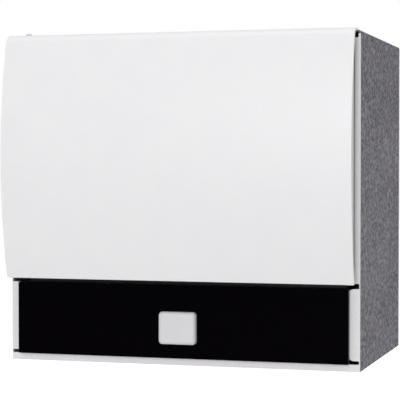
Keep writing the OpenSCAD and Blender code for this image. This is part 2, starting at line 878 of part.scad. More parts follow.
// Emitter and receiver, close behind the dark window
module sensor_lamps() {
    lens_y = fascia_y + fascia_t + gap + lamp_d / 2;
    lens_z = board_low + board_h / 2 + lamp_up;
    color("#3a2f46") on_wall() for (side = [-1, 1]) {
        x = board_x + board_w / 2 + side * lamp_apart / 2;
        rod_y(lens_y, board_y, lamp_d, x, lens_z);
        translate([x, lens_y, lens_z]) sphere(d = lamp_d);
    }
}

module board_screws() {
    color("#b9bcbf") on_wall()
        for (x = board_post_xs, z = board_post_zs)
            translate([x, board_y + board_t, z]) rotate([-90, 0, 0]) screw(board_screw_l);
}

// Drive plates: the right plate is the plain one, the left one also carries the motor and the idler
module chassis_plate() {
    span([plate_x, plate_front, sheet_t], [plate_x + plate_t, plate_back, sheet_t + plate_h]);
    for (y = foot_ys)
        span([plate_x - plate_foot_w, y - plate_foot_l / 2, sheet_t],
            [plate_x + past, y + plate_foot_l / 2, sheet_t + plate_t]);
}

module chassis_holes() {
    rod_x(plate_x - past, plate_x + plate_t + past, bush_d, feed_y, feed_z);
    rod_x(plate_x - past, plate_x + plate_t + past, rod_d + 2 * fit, pivot_y, pivot_z);
    for (y = foot_ys) rod_z(0, sheet_t + plate_t + past, screw_d, plate_x - plate_foot_w / 2, y);
}

module chassis_right() {
    color("#a9abad") on_wall() difference() {
        chassis_plate();
        chassis_holes();
    }
}

module chassis_left() {
    color("#a9abad") on_wall() mirror([1, 0, 0]) difference() {
        chassis_plate();
        chassis_holes();
        rod_x(plate_x - past, plate_x + plate_t + past, stud_d + 2 * fit, idler_y, idler_z);
        rod_x(plate_x - past, plate_x + plate_t + past, boss_d + 2 * fit, motor_y, motor_z);
    }
}

module chassis_screws() {
    color("#b9bcbf") on_wall() both_sides() for (y = foot_ys)
        translate([plate_x - plate_foot_w / 2, y, sheet_t + plate_t])
            screw(sheet_t + plate_t - screw_short);
}

module feed_shaft() {
    color("#b9bcbf") on_wall() rod_x(gear_x - shaft_past, knob_x + knob_l, shaft_d, feed_y, feed_z);
}

module feed_roller() {
    color("#3a3a3d") on_wall() difference() {
        rod_x(-roller_half, roller_half, feed_d, feed_y, feed_z);
        rod_x(-roller_half - past, roller_half + past, shaft_d + 2 * fit, feed_y, feed_z);
    }
}

// Flanged bushes, pressed into the plates from outside
module feed_bushes() {
    color("#e4e0d2") on_wall() both_sides() difference() {
        union() {
            rod_x(plate_x - bush_past, plate_x + plate_t, bush_d - 2 * fit, feed_y, feed_z);
            rod_x(plate_x + plate_t, plate_x + plate_t + bush_rim, bush_rim_d, feed_y, feed_z);
        }
        rod_x(plate_x - bush_past - past, plate_x + plate_t + bush_rim + past,
            shaft_d + 2 * fit, feed_y, feed_z);
    }
}

module feed_gear() {
    color("#e4e0d2") on_wall() gear(feed_teeth, feed_turn, shaft_d + 2 * fit, feed_y, feed_z);
}

module idler_gear() {
    color("#e4e0d2") on_wall() gear(idler_teeth, idler_turn, stud_d + 2 * fit, idler_y, idler_z);
}

module motor_pinion() {
    color("#c9a24a") on_wall() gear(motor_teeth, motor_turn, motor_shaft_d + 2 * fit, motor_y, motor_z);
}

// A headed stud through the left plate, with a shoulder that keeps the gear off the plate
module idler_stud() {
    color("#b9bcbf") on_wall() {
        rod_x(gear_x - gap, -plate_x + stud_nut_t, stud_d, idler_y, idler_z);
        rod_x(gear_x - gap - stud_head_t, gear_x - gap, stud_rim_d, idler_y, idler_z);
        rod_x(gear_x + gear_w + gap, -plate_x - plate_t, stud_rim_d, idler_y, idler_z);
        rod_x(-plate_x, -plate_x + stud_nut_t, stud_rim_d, idler_y, idler_z);
    }
}

module motor_shaft() {
    color("#b9bcbf") on_wall()
        rod_x(gear_x - pinion_past, -plate_x + shaft_in, motor_shaft_d, motor_y, motor_z);
}

// Gearbox, motor can and tail bearing, with a boss through the left plate
module gear_motor() {
    color("#9ea1a4") on_wall() difference() {
        union() {
            rod_x(-plate_x - plate_t, -plate_x + past, boss_d, motor_y, motor_z);
            rod_x(-plate_x, -plate_x + motor_box_l, motor_d, motor_y, motor_z);
            rod_x(-plate_x + motor_box_l, -plate_x + motor_l, motor_can_d, motor_y, motor_z);
            rod_x(-plate_x + motor_l, -plate_x + motor_l + motor_tail_l, motor_tail_d, motor_y, motor_z);
        }
        rod_x(-plate_x - plate_t - past, -plate_x + shaft_in + past,
            motor_shaft_d + 2 * fit, motor_y, motor_z);
    }
}

// A thumb wheel with finger grooves, for feeding the towel by hand
module feed_knob() {
    color("#2b2c30") on_wall() difference() {
        rod_x(knob_x, knob_x + knob_l, knob_d, feed_y, feed_z);
        rod_x(knob_x - past, knob_x + knob_l + past, shaft_d + 2 * fit, feed_y, feed_z);
        for (i = [0 : groove_count - 1]) let (a = 360 * i / groove_count)
            rod_x(knob_x - past, knob_x + knob_l + past, groove_d,
                feed_y + knob_d / 2 * cos(a), feed_z + knob_d / 2 * sin(a));
    }
}

module pinch_shaft() {
    color("#b9bcbf") on_wall()
        rod_x(-carrier_x - carrier_t, carrier_x + carrier_t, pinch_shaft_d, pinch_y, feed_z);
}

module pinch_roller() {
    color("#8b8d90") on_wall() difference() {
        rod_x(-roller_half, roller_half, pinch_d, pinch_y, feed_z);
        rod_x(-roller_half - past, roller_half + past, pinch_shaft_d + 2 * fit, pinch_y, feed_z);
    }
}

// A tube on the rod, with an arm at each end down to the pinch roller
module pinch_carrier() {
    end_x = carrier_x + carrier_t;
    reach = norm([pivot_back, pivot_up]);
    lean = atan2(pivot_up, pivot_back);
    color("#2b2c30") on_wall() difference() {
        union() {
            rod_x(-end_x, end_x, carrier_tube_d, pivot_y, pivot_z);
            both_sides() {
                rod_x(carrier_x, carrier_x + carrier_t, carrier_eye_d, pinch_y, feed_z);
                translate([carrier_x, pinch_y, feed_z]) rotate([lean, 0, 0])
                    translate([0, 0, -carrier_arm_w / 2]) cube([carrier_t, reach, carrier_arm_w]);
            }
        }
        rod_x(-end_x - past, end_x + past, rod_d + 2 * fit, pivot_y, pivot_z);
        rod_x(-end_x - past, end_x + past, pinch_shaft_d + 2 * fit, pinch_y, feed_z);
    }
}

module carrier_rod() {
    color("#b9bcbf") on_wall() rod_x(-plate_x - plate_t, plate_x + plate_t, rod_d, pivot_y, pivot_z);
}

module carrier_springs() {
    color("#c4c6c8") on_wall() both_sides()
        translate([carrier_x + carrier_t + gap + rod_wire / 2, pivot_y, pivot_z]) rotate([0, 90, 0])
            coil(rod_coil_r, rod_coil_l, rod_curls, rod_wire);
}

// A flat tube that leads the towel down to the slot
module towel_chute() {
    color("#2b2c30") on_wall() difference() {
        span([-slot_x - chute_t, nip_y - slot_d / 2 - chute_t, sheet_t],
            [slot_x + chute_t, nip_y + slot_d / 2 + chute_t, sheet_t + chute_h]);
        span([-slot_x, nip_y - slot_d / 2, 0], [slot_x, nip_y + slot_d / 2, sheet_t + chute_h + past]);
    }
}

// A toothed blade on the chute's front wall, with its teeth in the slot
module tear_bar() {
    teeth = floor(2 * (slot_x - blade_in) / tooth_p);
    low = blade_low + tooth_h;
    color("#c4c6c8") on_wall() along_y(nip_y - slot_d / 2, nip_y - slot_d / 2 + blade_t)
        translate([-teeth * tooth_p / 2, 0]) polygon(concat(
            [for (i = [0 : teeth - 1]) each [[i * tooth_p, low], [(i + 0.5) * tooth_p, blade_low]]],
            [[teeth * tooth_p, low], [teeth * tooth_p, blade_top], [0, blade_top]]));
}

module battery_tray() {
    color("#2b2c30") on_wall() difference() {
        span([-tray_x - tray_t, tray_y - tray_t, sheet_t],
            [tray_x + tray_t, -sheet_t, sheet_t + tray_t + tray_wall_h]);
        span([-tray_x, tray_y, sheet_t + tray_t], [tray_x, -sheet_t - tray_t, case_h]);
    }
}

module battery_cells() {
    color("#3b3d42") on_wall() for (i = [0 : cell_count - 1]) {
        x0 = (i - cell_count / 2) * cell_l + cell_gap;
        x1 = (i + 1 - cell_count / 2) * cell_l - cell_gap;
        rod_x(x0, x1 - nub_l, cell_d, cell_y, cell_z);
        rod_x(x1 - nub_l, x1, nub_d, cell_y, cell_z);
    }
}

// A plate at each end of the row of cells, on the tray's end walls
module battery_contacts() {
    color("#c9a24a") on_wall() both_sides() {
        span([tray_x - contact_t, cell_y - contact_w / 2, cell_z - contact_w / 2],
            [tray_x, cell_y + contact_w / 2, cell_z + contact_w / 2]);
        rod_x(cell_count * cell_l / 2 + gap, tray_x - contact_t / 2, contact_d, cell_y, cell_z);
    }
}

module towel_roll() {
    color("#efece4") on_wall() difference() {
        rod_x(-roll_w / 2, roll_w / 2, roll_d, roll_y, roll_z);
        rod_x(-roll_w / 2 - past, roll_w / 2 + past, core_d + 2 * core_t, roll_y, roll_z);
    }
}

module roll_core() {
    color("#b08d62") on_wall() difference() {
        rod_x(-roll_w / 2, roll_w / 2, core_d + 2 * core_t, roll_y, roll_z);
        rod_x(-roll_w / 2 - past, roll_w / 2 + past, core_d, roll_y, roll_z);
    }
}

// A flat arm with a round end at the roll's axis
module arm_plate(back) {
    span([arm_x, roll_y, roll_z - arm_h / 2], [arm_x + arm_t, back, roll_z + arm_h / 2]);
    rod_x(arm_x, arm_x + arm_t, arm_h, roll_y, roll_z);
}

module roll_arm_left() {
    color("#d8d8da") on_wall() mirror([1, 0, 0]) {
        arm_plate(-sheet_t);
        span([arm_x + arm_t - arm_foot_w, -sheet_t - arm_foot_t, roll_z - arm_h / 2],
            [arm_x + past, -sheet_t, roll_z + arm_h / 2]);
    }
}

// The right arm swings out on its pin to let the roll go
module roll_arm_right() {
    color("#d8d8da") on_wall() difference() {
        union() {
            arm_plate(arm_pin_y + arm_root);
            for (z = [roll_z - arm_h / 2, roll_z + arm_h / 2 - knuckle_h])
                rod_z(z, z + knuckle_h, 2 * knuckle_r, arm_pin_x, arm_pin_y);
        }
        rod_z(roll_z - arm_h, roll_z + arm_h, arm_pin_d + 2 * fit, arm_pin_x, arm_pin_y);
    }
}

// A hub: a rim against the arm, a short seat, and a tapered nose that lets it swing out of the core
module hub(loose) {
    seat_d = core_d - 2 * loose;
    rim_x = arm_x - hub_rim_t;
    seat_x = rim_x - hub_seat_l;
    rod_x(rim_x, arm_x, hub_rim_d, roll_y, roll_z);
    rod_x(seat_x, rim_x, seat_d, roll_y, roll_z);
    translate([seat_x - nose_l, roll_y, roll_z]) rotate([0, 90, 0])
        cylinder(d1 = nose_d, d2 = seat_d, h = nose_l);
}

module hub_left() {
    color("#e4e0d2") on_wall() mirror([1, 0, 0]) hub(gap);
}

module hub_right() {
    color("#e4e0d2") on_wall() hub(2 * gap);
}

module arm_bracket() {
    color("#a9abad") on_wall() difference() {
        union() {
            span([arm_pin_x - bracket_in, -sheet_t - arm_foot_t, arm_pin_low],
                [arm_pin_x + bracket_out, -sheet_t, arm_pin_high]);
            for (z = [arm_pin_low, arm_pin_high - ear_h]) {
                rod_z(z, z + ear_h, 2 * knuckle_r, arm_pin_x, arm_pin_y);
                span([arm_pin_x - knuckle_r, arm_pin_y, z], [arm_pin_x + knuckle_r, -sheet_t, z + ear_h]);
            }
        }
        rod_z(0, case_h, arm_pin_d + 2 * fit, arm_pin_x, arm_pin_y);
    }
}

module arm_pin() {
    color("#b9bcbf") on_wall() {
        rod_z(arm_pin_low - arm_pin_past, arm_pin_high, arm_pin_d, arm_pin_x, arm_pin_y);
        rod_z(arm_pin_high, arm_pin_high + arm_pin_head_t, arm_pin_head_d, arm_pin_x, arm_pin_y);
    }
}

module arm_spring() {
    color("#c4c6c8") on_wall()
        translate([arm_pin_x, arm_pin_y, roll_z - arm_h / 2 + knuckle_h + gap + arm_wire / 2])
            coil(arm_coil_r, arm_coil_l, arm_curls, arm_wire);
}

cabinet_wrap();
back_plate();
floor_pan();
front_frame();
cover();
hinge_bracket_left();
hinge_bracket_right();
hinge_pins();
lock_barrel();
lock_plug();
lock_keeper();
fascia();
fascia_base();
fascia_rail();
fascia_screws();
pad_guide();
feed_pad();
pad_spring();
pad_clip();
feed_switch();
control_board();
board_parts();
sensor_lamps();
board_screws();
chassis_left();
chassis_right();
chassis_screws();
feed_shaft();
feed_roller();
feed_bushes();
feed_gear();
feed_knob();
idler_gear();
idler_stud();
gear_motor();
motor_shaft();
motor_pinion();
pinch_roller();
pinch_shaft();
pinch_carrier();
carrier_rod();
carrier_springs();
towel_chute();
tear_bar();
battery_tray();
battery_cells();
battery_contacts();
towel_roll();
roll_core();
roll_arm_left();
hub_left();
roll_arm_right();
hub_right();
arm_bracket();
arm_pin();
arm_spring();
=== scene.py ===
"""A wall dispenser for roll towels: moulded shapes and finishes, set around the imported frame."""

import json
import math

import bmesh
import bpy
from mathutils import Matrix, Vector


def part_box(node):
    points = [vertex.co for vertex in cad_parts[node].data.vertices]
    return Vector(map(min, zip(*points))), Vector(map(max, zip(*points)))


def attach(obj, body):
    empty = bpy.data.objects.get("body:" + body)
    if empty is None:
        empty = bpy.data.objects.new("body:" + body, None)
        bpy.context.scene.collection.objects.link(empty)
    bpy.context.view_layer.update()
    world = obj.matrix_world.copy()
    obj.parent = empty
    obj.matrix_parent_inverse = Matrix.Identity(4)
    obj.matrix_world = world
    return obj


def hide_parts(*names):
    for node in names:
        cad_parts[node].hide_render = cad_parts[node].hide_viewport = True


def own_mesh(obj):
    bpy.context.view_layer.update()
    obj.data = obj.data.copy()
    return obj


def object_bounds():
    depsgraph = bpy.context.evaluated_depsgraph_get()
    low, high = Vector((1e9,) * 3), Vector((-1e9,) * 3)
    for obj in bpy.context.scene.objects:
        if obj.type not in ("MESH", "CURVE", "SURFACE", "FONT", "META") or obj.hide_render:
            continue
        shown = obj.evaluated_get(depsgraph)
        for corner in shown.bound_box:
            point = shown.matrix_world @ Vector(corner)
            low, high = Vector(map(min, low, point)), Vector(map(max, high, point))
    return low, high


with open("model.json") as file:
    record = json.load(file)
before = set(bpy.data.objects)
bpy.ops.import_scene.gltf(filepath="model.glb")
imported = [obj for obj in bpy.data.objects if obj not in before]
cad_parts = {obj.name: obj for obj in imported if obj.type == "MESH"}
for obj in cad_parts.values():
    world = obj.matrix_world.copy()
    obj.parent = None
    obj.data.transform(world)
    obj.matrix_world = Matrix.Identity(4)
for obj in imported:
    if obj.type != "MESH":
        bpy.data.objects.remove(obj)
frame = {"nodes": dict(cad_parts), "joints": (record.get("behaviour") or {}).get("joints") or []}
cad_low, cad_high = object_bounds()

# Camera
# A long lens a little to the right of the cabinet and almost level with its middle, as for a catalogue.
# It aims at a point on the front flanges.
scene = bpy.context.scene
scene.view_settings.view_transform = "Standard"
camera_turn = math.radians(16.57)
camera_rise = math.radians(1.295)
camera_reach = 1.385
camera_lens = 138.15
camera_aim = Vector((0.0185, -0.2096, 0.0003))
camera_side = Vector((
    math.sin(camera_turn) * math.cos(camera_rise),
    -math.cos(camera_turn) * math.cos(camera_rise),
    math.sin(camera_rise),
))
camera = bpy.data.objects.new("camera", bpy.data.cameras.new("camera"))
camera.data.lens = camera_lens
camera.location = camera_aim + camera_reach * camera_side
camera.rotation_euler = (-camera_side).to_track_quat("-Z", "Y").to_euler()
scene.collection.objects.link(camera)
scene.camera = camera


# Studio floor, walls and lamps
# A matt white floor some way below the cabinet, white surroundings, and broad lamps in front and above.
# Floor and surroundings look white to the lens and in gloss, and light the piece less.
# The floor is clear from below, so that the underside can be looked at.
def linear(code):
    """An sRGB hex colour as linear red, green, blue and alpha."""
    shares = [int(code[i:i + 2], 16) / 255 for i in (1, 3, 5)]
    return [s / 12.92 if s <= 0.04045 else ((s + 0.055) / 1.055) ** 2.4 for s in shares] + [1.0]


def add_node(tree, kind, inputs=None, **settings):
    """Adds a node, with its settings, and sets or links its inputs."""
    node = tree.nodes.new(kind)
    for name, value in settings.items():
        setattr(node, name, value)
    for name, value in (inputs or {}).items():
        if isinstance(value, bpy.types.NodeSocket):
            tree.links.new(value, node.inputs[name])
        else:
            node.inputs[name].default_value = value
    return node


def seen_directly(tree):
    """1 for rays from the lens, a reflection or a clear piece, and 0 for the light on a surface."""
    rays = add_node(tree, "ShaderNodeLightPath").outputs
    seen = add_node(tree, "ShaderNodeMath", {0: rays["Is Camera Ray"], 1: rays["Is Glossy Ray"]})
    return add_node(tree, "ShaderNodeMath", {0: seen.outputs[0], 1: rays["Is Transmission Ray"]},
                    use_clamp=True).outputs[0]


ambient = 0.46
scene.world = bpy.data.worlds.new("white_surroundings")
scene.world.use_nodes = True
sky = scene.world.node_tree
sky.nodes.clear()
level = add_node(sky, "ShaderNodeMapRange", {"Value": seen_directly(sky), "To Min": ambient, "To Max": 1.0})
glow = add_node(sky, "ShaderNodeBackground", {"Color": linear("#ffffff"), "Strength": level.outputs[0]})
add_node(sky, "ShaderNodeOutputWorld", {"Surface": glow.outputs[0]})

floor_drop = 0.3
floor_radius = 12
floor_sides = 96
floor_glow = 0.7
floor_paint = bpy.data.materials.new("white_floor_paint")
floor_paint.use_nodes = True
tree = floor_paint.node_tree
tree.nodes.clear()
matt = add_node(tree, "ShaderNodeBsdfDiffuse", {"Color": linear("#f0f0f0")})
lift = add_node(tree, "ShaderNodeMath", {0: seen_directly(tree), 1: floor_glow}, operation="MULTIPLY")
white = add_node(tree, "ShaderNodeEmission", {"Strength": lift.outputs[0]})
summed = add_node(tree, "ShaderNodeAddShader", {0: matt.outputs[0], 1: white.outputs[0]})
below = add_node(tree, "ShaderNodeNewGeometry").outputs["Backfacing"]
clear = add_node(tree, "ShaderNodeBsdfTransparent")
one_way = add_node(tree, "ShaderNodeMixShader", {0: below, 1: summed.outputs[0], 2: clear.outputs[0]})
add_node(tree, "ShaderNodeOutputMaterial", {"Surface": one_way.outputs[0]})
bm = bmesh.new()
bmesh.ops.create_circle(bm, cap_ends=True, segments=floor_sides, radius=floor_radius,
                        matrix=Matrix.Translation((0, 0, cad_low.z - floor_drop)))
floor = bpy.data.objects.new("floor", bpy.data.meshes.new("floor"))
bm.to_mesh(floor.data)
bm.free()
floor.data.materials.append(floor_paint)
scene.collection.objects.link(floor)

for name, place, size, energy in (("front_lamp", (0.1, -4.3, 0.8), 1.2, 58.5),
                                  ("top_lamp", (0.0, -0.8, 3.0), 2.4, 30)):
    lamp = bpy.data.objects.new(name, bpy.data.lights.new(name, "AREA"))
    lamp.data.shape = "DISK"
    lamp.data.size = size
    lamp.data.energy = energy
    lamp.location = place
    lamp.rotation_euler = (camera_aim - lamp.location).to_track_quat("-Z", "Y").to_euler()
    scene.collection.objects.link(lamp)

# Cabinet wrap
# Two sides and the top of the cabinet, folded from one sheet of 1.5 mm steel and open at the back.
# It is sprayed with a stoving enamel that dries to a fine stipple; its mid-grey is darker than the front
# frame's pale enamel, a painted shade for the sides and top, which face away from the lamps.
mm = 0.001
sheet = 1.5 * mm
fold_radius = 2.2 * mm
fold_steps = 6
burr = 0.25 * mm
shade_angle = math.radians(35)
wrap_low, wrap_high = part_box("cabinet_wrap")
notch_top = wrap_high.z - fold_radius - 2 * burr


def sharp_edges(bm, least=50):
    """The edges at which a surface turns by more than some degrees."""
    return [e for e in bm.edges if len(e.link_faces) == 2 and e.calc_face_angle() > math.radians(least)]


def round_over(bm, geom, width, steps=3, affect="EDGES"):
    """Rounds edges or corners with a true arc."""
    bmesh.ops.bevel(bm, geom=geom, offset=width, segments=steps, profile=0.5, affect=affect,
                    clamp_overlap=True, material=-1)


def moved(bm, drawn, way):
    """Moves what an extrusion has just drawn out."""
    bmesh.ops.translate(bm, verts=[v for v in drawn["geom"] if isinstance(v, bmesh.types.BMVert)], vec=way)


def finished(name, bm, material):
    """Makes a finished piece of a shape, smooth but for its sharp edges."""
    mesh = bpy.data.meshes.new(name)
    bm.to_mesh(mesh)
    bm.free()
    mesh.shade_smooth()
    mesh.set_sharp_from_angle(angle=shade_angle)
    mesh.materials.append(material)
    piece = bpy.data.objects.new(name, mesh)
    scene.collection.objects.link(piece)
    piece.modifiers.new("flat_faces_stay_flat", "WEIGHTED_NORMAL").keep_sharp = True
    return piece


def new_finish(name):
    """An empty material, its node tree, and the place on the piece that its patterns follow."""
    material = bpy.data.materials.new(name)
    material.use_nodes = True
    tree = material.node_tree
    tree.nodes.clear()
    return material, tree, add_node(tree, "ShaderNodeTexCoord").outputs["Object"]


def noise(tree, place, grain, detail):
    """A soft noise with patches about as large as a grain."""
    return add_node(tree, "ShaderNodeTexNoise",
                    {"Vector": place, "Scale": 1 / grain, "Detail": detail}).outputs[0]


def blended(tree, share, deep, pale):
    """A colour between two, by a share."""
    return add_node(tree, "ShaderNodeMix",
                    {0: share, 6: linear(deep), 7: linear(pale)}, data_type="RGBA").outputs[2]


def stoving_enamel(name, pale, deep, stipple):
    """Stoved enamel: an uneven tone, and a stipple drawn out along the sheet that breaks up its gloss."""
    material, tree, place = new_finish(name)
    place = add_node(tree, "ShaderNodeMapping", {"Vector": place, "Scale": (1.0, 0.65, 1.0)}).outputs[0]
    drift = noise(tree, place, 70 * mm, 2.0)
    speck = add_node(tree, "ShaderNodeTexVoronoi", {"Vector": place, "Scale": 1 / stipple},
                     feature="SMOOTH_F1")
    tone = add_node(tree, "ShaderNodeMath", {0: drift, 1: 0.4, 2: speck.outputs[0]},
                    operation="MULTIPLY_ADD")
    share = add_node(tree, "ShaderNodeMapRange",
                     {"Value": tone.outputs[0], "From Min": 0.3, "From Max": 0.95})
    tint = blended(tree, share.outputs[0], deep, pale)
    relief = add_node(tree, "ShaderNodeBump",
                      {"Strength": 0.35, "Distance": 0.12 * mm, "Height": speck.outputs[0]})
    coat = add_node(tree, "ShaderNodeBsdfPrincipled",
                    {"Base Color": tint, "Roughness": 0.7, "Specular IOR Level": 0.1,
                     "Normal": relief.outputs[0]})
    add_node(tree, "ShaderNodeOutputMaterial", {"Surface": coat.outputs[0]})
    return material


# The wrap's grey is written darker than the frame's pale enamel: painted shade standing in for the shade on
# the cabinet's sides.
grey_enamel_painted_shade = stoving_enamel("grey_stoving_enamel_painted_shade", "#9c9aa1", "#4d4a54", 2.8 * mm)
bm = bmesh.new()
outline = [(wrap_low.x, wrap_low.z), (wrap_low.x, wrap_high.z),
           (wrap_high.x, wrap_high.z), (wrap_high.x, wrap_low.z)]
corners = [bm.verts.new((x, wrap_low.y, z)) for x, z in outline]
panels = [bm.edges.new(pair) for pair in zip(corners, corners[1:])]
moved(bm, bmesh.ops.extrude_edge_only(bm, edges=panels), (0, wrap_high.y - wrap_low.y, 0))
bmesh.ops.recalc_face_normals(bm, faces=bm.faces[:])
round_over(bm, sharp_edges(bm), fold_radius, fold_steps)
bmesh.ops.bisect_plane(bm, geom=bm.verts[:] + bm.edges[:] + bm.faces[:],
                       plane_co=(0, 0, notch_top), plane_no=(0, 0, 1))
for corner in bm.verts:
    if corner.co.y < wrap_low.y + burr and corner.co.z < notch_top + burr:
        corner.co.y += sheet
bmesh.ops.solidify(bm, geom=bm.faces[:], thickness=sheet)
bmesh.ops.recalc_face_normals(bm, faces=bm.faces[:])
round_over(bm, sharp_edges(bm), burr, steps=2)
wrap = finished("cabinet_wrap_folded", bm, grey_enamel_painted_shade)
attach(wrap, "cabinet")
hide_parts("cabinet_wrap")

# Back plate and floor pan
# Flat sheets that close the wrap towards the wall and below, with four wall holes and the towel slot.
# They are cut from galvanised steel, left bare, and spot-welded to the wrap along their edges.
cut_edge = 0.2 * mm
merge_reach = 0.001 * mm
flat_reach = 0.002 * mm
flat_angle = math.radians(1)
facet_turn = 40


def softened(name, node, width, material):
    """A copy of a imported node, with its doubled points merged and its sharp edges rounded over."""
    bm = bmesh.new()
    bm.from_mesh(frame["nodes"][node].data)
    bmesh.ops.remove_doubles(bm, verts=bm.verts[:], dist=merge_reach)
    bmesh.ops.dissolve_limit(bm, angle_limit=flat_angle, verts=bm.verts[:], edges=bm.edges[:])
    bmesh.ops.bevel(bm, geom=sharp_edges(bm, facet_turn), offset=width, segments=2, profile=0.5,
                    affect="EDGES", material=-1)
    bmesh.ops.dissolve_degenerate(bm, edges=bm.edges[:], dist=flat_reach)
    return finished(name, bm, material)


# Hot-dip zinc sets in flat crystals, each with its own grey and its own gloss.
zinc_sheet, tree, place = new_finish("galvanised_steel_sheet")
crystal = add_node(tree, "ShaderNodeTexVoronoi", {"Vector": place, "Scale": 1 / (6 * mm)}).outputs["Color"]
tint = blended(tree, crystal, "#a3a7aa", "#b7bbbe")
gloss = add_node(tree, "ShaderNodeMapRange", {"Value": crystal, "To Min": 0.36, "To Max": 0.52})
coat = add_node(tree, "ShaderNodeBsdfPrincipled",
                {"Base Color": tint, "Metallic": 1.0, "Roughness": gloss.outputs[0]})
add_node(tree, "ShaderNodeOutputMaterial", {"Surface": coat.outputs[0]})

for node in ("back_plate", "floor_pan"):
    plate = softened(node + "_sheet", node, cut_edge, zinc_sheet)
    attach(plate, "cabinet")
    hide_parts(node)

# Front frame
# Flanges beside the cover, a tab beside each end of the black panel, and a lip along the bottom.
# It is cut and folded from one steel sheet, with slots at its bends, and enamelled a paler grey.
frame_low, frame_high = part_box("front_frame")
strip_width = 5.5 * mm
tab_width = 10.5 * mm
tab_round = 5 * mm
corner_steps = 8
tab_low = frame_low.z + 9.5 * mm
tab_high = tab_low + 63.5 * mm
lip_top = frame_low.z + 6.5 * mm
strip_low = frame_low.z + 77.5 * mm
slot_stop = 0.9 * mm
tongue_width = 2 * mm
tongue_top = notch_top - burr
leg_in = 1.5 * mm
frame_edge = 0.35 * mm
pale_enamel = stoving_enamel("pale_stoving_enamel", "#ececee", "#e4e4e6", 1.2 * mm)


def add_box(bm, low, high):
    """Adds a plain block between two corners."""
    low, high = Vector(low), Vector(high)
    place = Matrix.Translation((low + high) / 2) @ Matrix.Diagonal((*(high - low), 1))
    return bmesh.ops.create_cube(bm, size=1, matrix=place)["verts"]


edge_x = frame_high.x
outline = [
    (0, frame_low.z), (edge_x, frame_low.z), (edge_x, tongue_top), (edge_x - tongue_width, tongue_top),
    (edge_x - tongue_width, frame_high.z), (edge_x - strip_width, frame_high.z),
    (edge_x - strip_width, strip_low), (edge_x - slot_stop, strip_low), (edge_x - slot_stop, tab_high),
    (edge_x - tab_width, tab_high), (edge_x - tab_width, tab_low), (edge_x - slot_stop, tab_low),
    (edge_x - slot_stop, lip_top), (0, lip_top),
]
bm = bmesh.new()
face = bm.faces.new([bm.verts.new((x, frame_low.y, z)) for x, z in outline])
round_over(bm, [v for v in face.verts if abs(v.co.x - edge_x + tab_width) < burr], tab_round,
           corner_steps, "VERTICES")
bmesh.ops.mirror(bm, geom=bm.verts[:] + bm.edges[:] + bm.faces[:], axis="X", merge_dist=burr)
bmesh.ops.recalc_face_normals(bm, faces=bm.faces[:])
bmesh.ops.solidify(bm, geom=bm.faces[:], thickness=sheet)
bmesh.ops.recalc_face_normals(bm, faces=bm.faces[:])
round_over(bm, sharp_edges(bm), frame_edge)
bend_y = frame_low.y + sheet
for side in (-1, 1):
    leg_x = sorted((side * (edge_x - sheet - leg_in), side * (edge_x - sheet)))
    for foot, top in ((frame_low.z + sheet, lip_top), (tab_low, tab_high), (strip_low, frame_high.z)):
        add_box(bm, (leg_x[0], bend_y, foot), (leg_x[1], frame_high.y, top))
leg_middle = edge_x - sheet - leg_in / 2
add_box(bm, (-leg_middle, bend_y, frame_low.z + sheet), (leg_middle, frame_high.y, frame_low.z + 2 * sheet))
front_frame = finished("front_frame_folded", bm, pale_enamel)
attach(front_frame, "cabinet")
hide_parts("front_frame")

# Hinge brackets and hinge pins
# Two bent arms, spot-welded inside the flanges, that hold the pins on which the cover turns.
# The arms are galvanised sheet, and the pins are headed steel rod pressed into their ends.
pin_edge = 0.3 * mm

# Drawn steel is bright, with fine lines and rub marks that spread its highlights.
bright_steel, tree, place = new_finish("bright_drawn_steel")
rub = noise(tree, place, 0.7 * mm, 4.0)
tint = blended(tree, rub, "#a9abae", "#d3d5d7")
gloss = add_node(tree, "ShaderNodeMapRange", {"Value": rub, "From Min": 0.3, "From Max": 0.7,
                                              "To Min": 0.2, "To Max": 0.36})
metal = add_node(tree, "ShaderNodeBsdfPrincipled",
                 {"Base Color": tint, "Metallic": 1.0, "Roughness": gloss.outputs[0]})
add_node(tree, "ShaderNodeOutputMaterial", {"Surface": metal.outputs[0]})

for node in ("hinge_bracket_left", "hinge_bracket_right"):
    bracket = softened(node + "_bent", node, cut_edge, zinc_sheet)
    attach(bracket, "cabinet")
    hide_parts(node)
pins = softened("hinge_pins_headed", "hinge_pins", pin_edge, bright_steel)
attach(pins, "cabinet")
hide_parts("hinge_pins")

# Lock keeper
# The post under the cabinet top that the lock's jaw turns behind.
# It is bent from galvanised sheet and spot-welded in place.
keeper = softened("lock_keeper_bent", "lock_keeper", cut_edge, zinc_sheet)
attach(keeper, "cabinet")
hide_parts("lock_keeper")

# Chassis plates and their screws
# Two upright plates that carry the feed train, each with a foot turned out along the floor pan.
# They are pierced and bent from galvanised sheet, and four screws hold them from below.
screw_edge = 0.25 * mm
for node in ("chassis_left", "chassis_right"):
    plate = softened(node + "_pierced", node, cut_edge, zinc_sheet)
    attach(plate, "cabinet")
    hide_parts(node)
screws = softened("chassis_screws_turned", "chassis_screws", screw_edge, bright_steel)
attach(screws, "cabinet")
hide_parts("chassis_screws")

# Feed roller and feed shaft
# The driven roller that pulls the towel down: a grooved rubber sleeve, bonded to a steel shaft.
# The sleeve is moulded, then ground round, which leaves it matt.
roller_low, roller_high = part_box("feed_roller")
groove_pitch = 10 * mm
groove_width = 2 * mm
groove_depth = 0.7 * mm
roller_bore = 4 * mm
roller_chamfer = 1 * mm


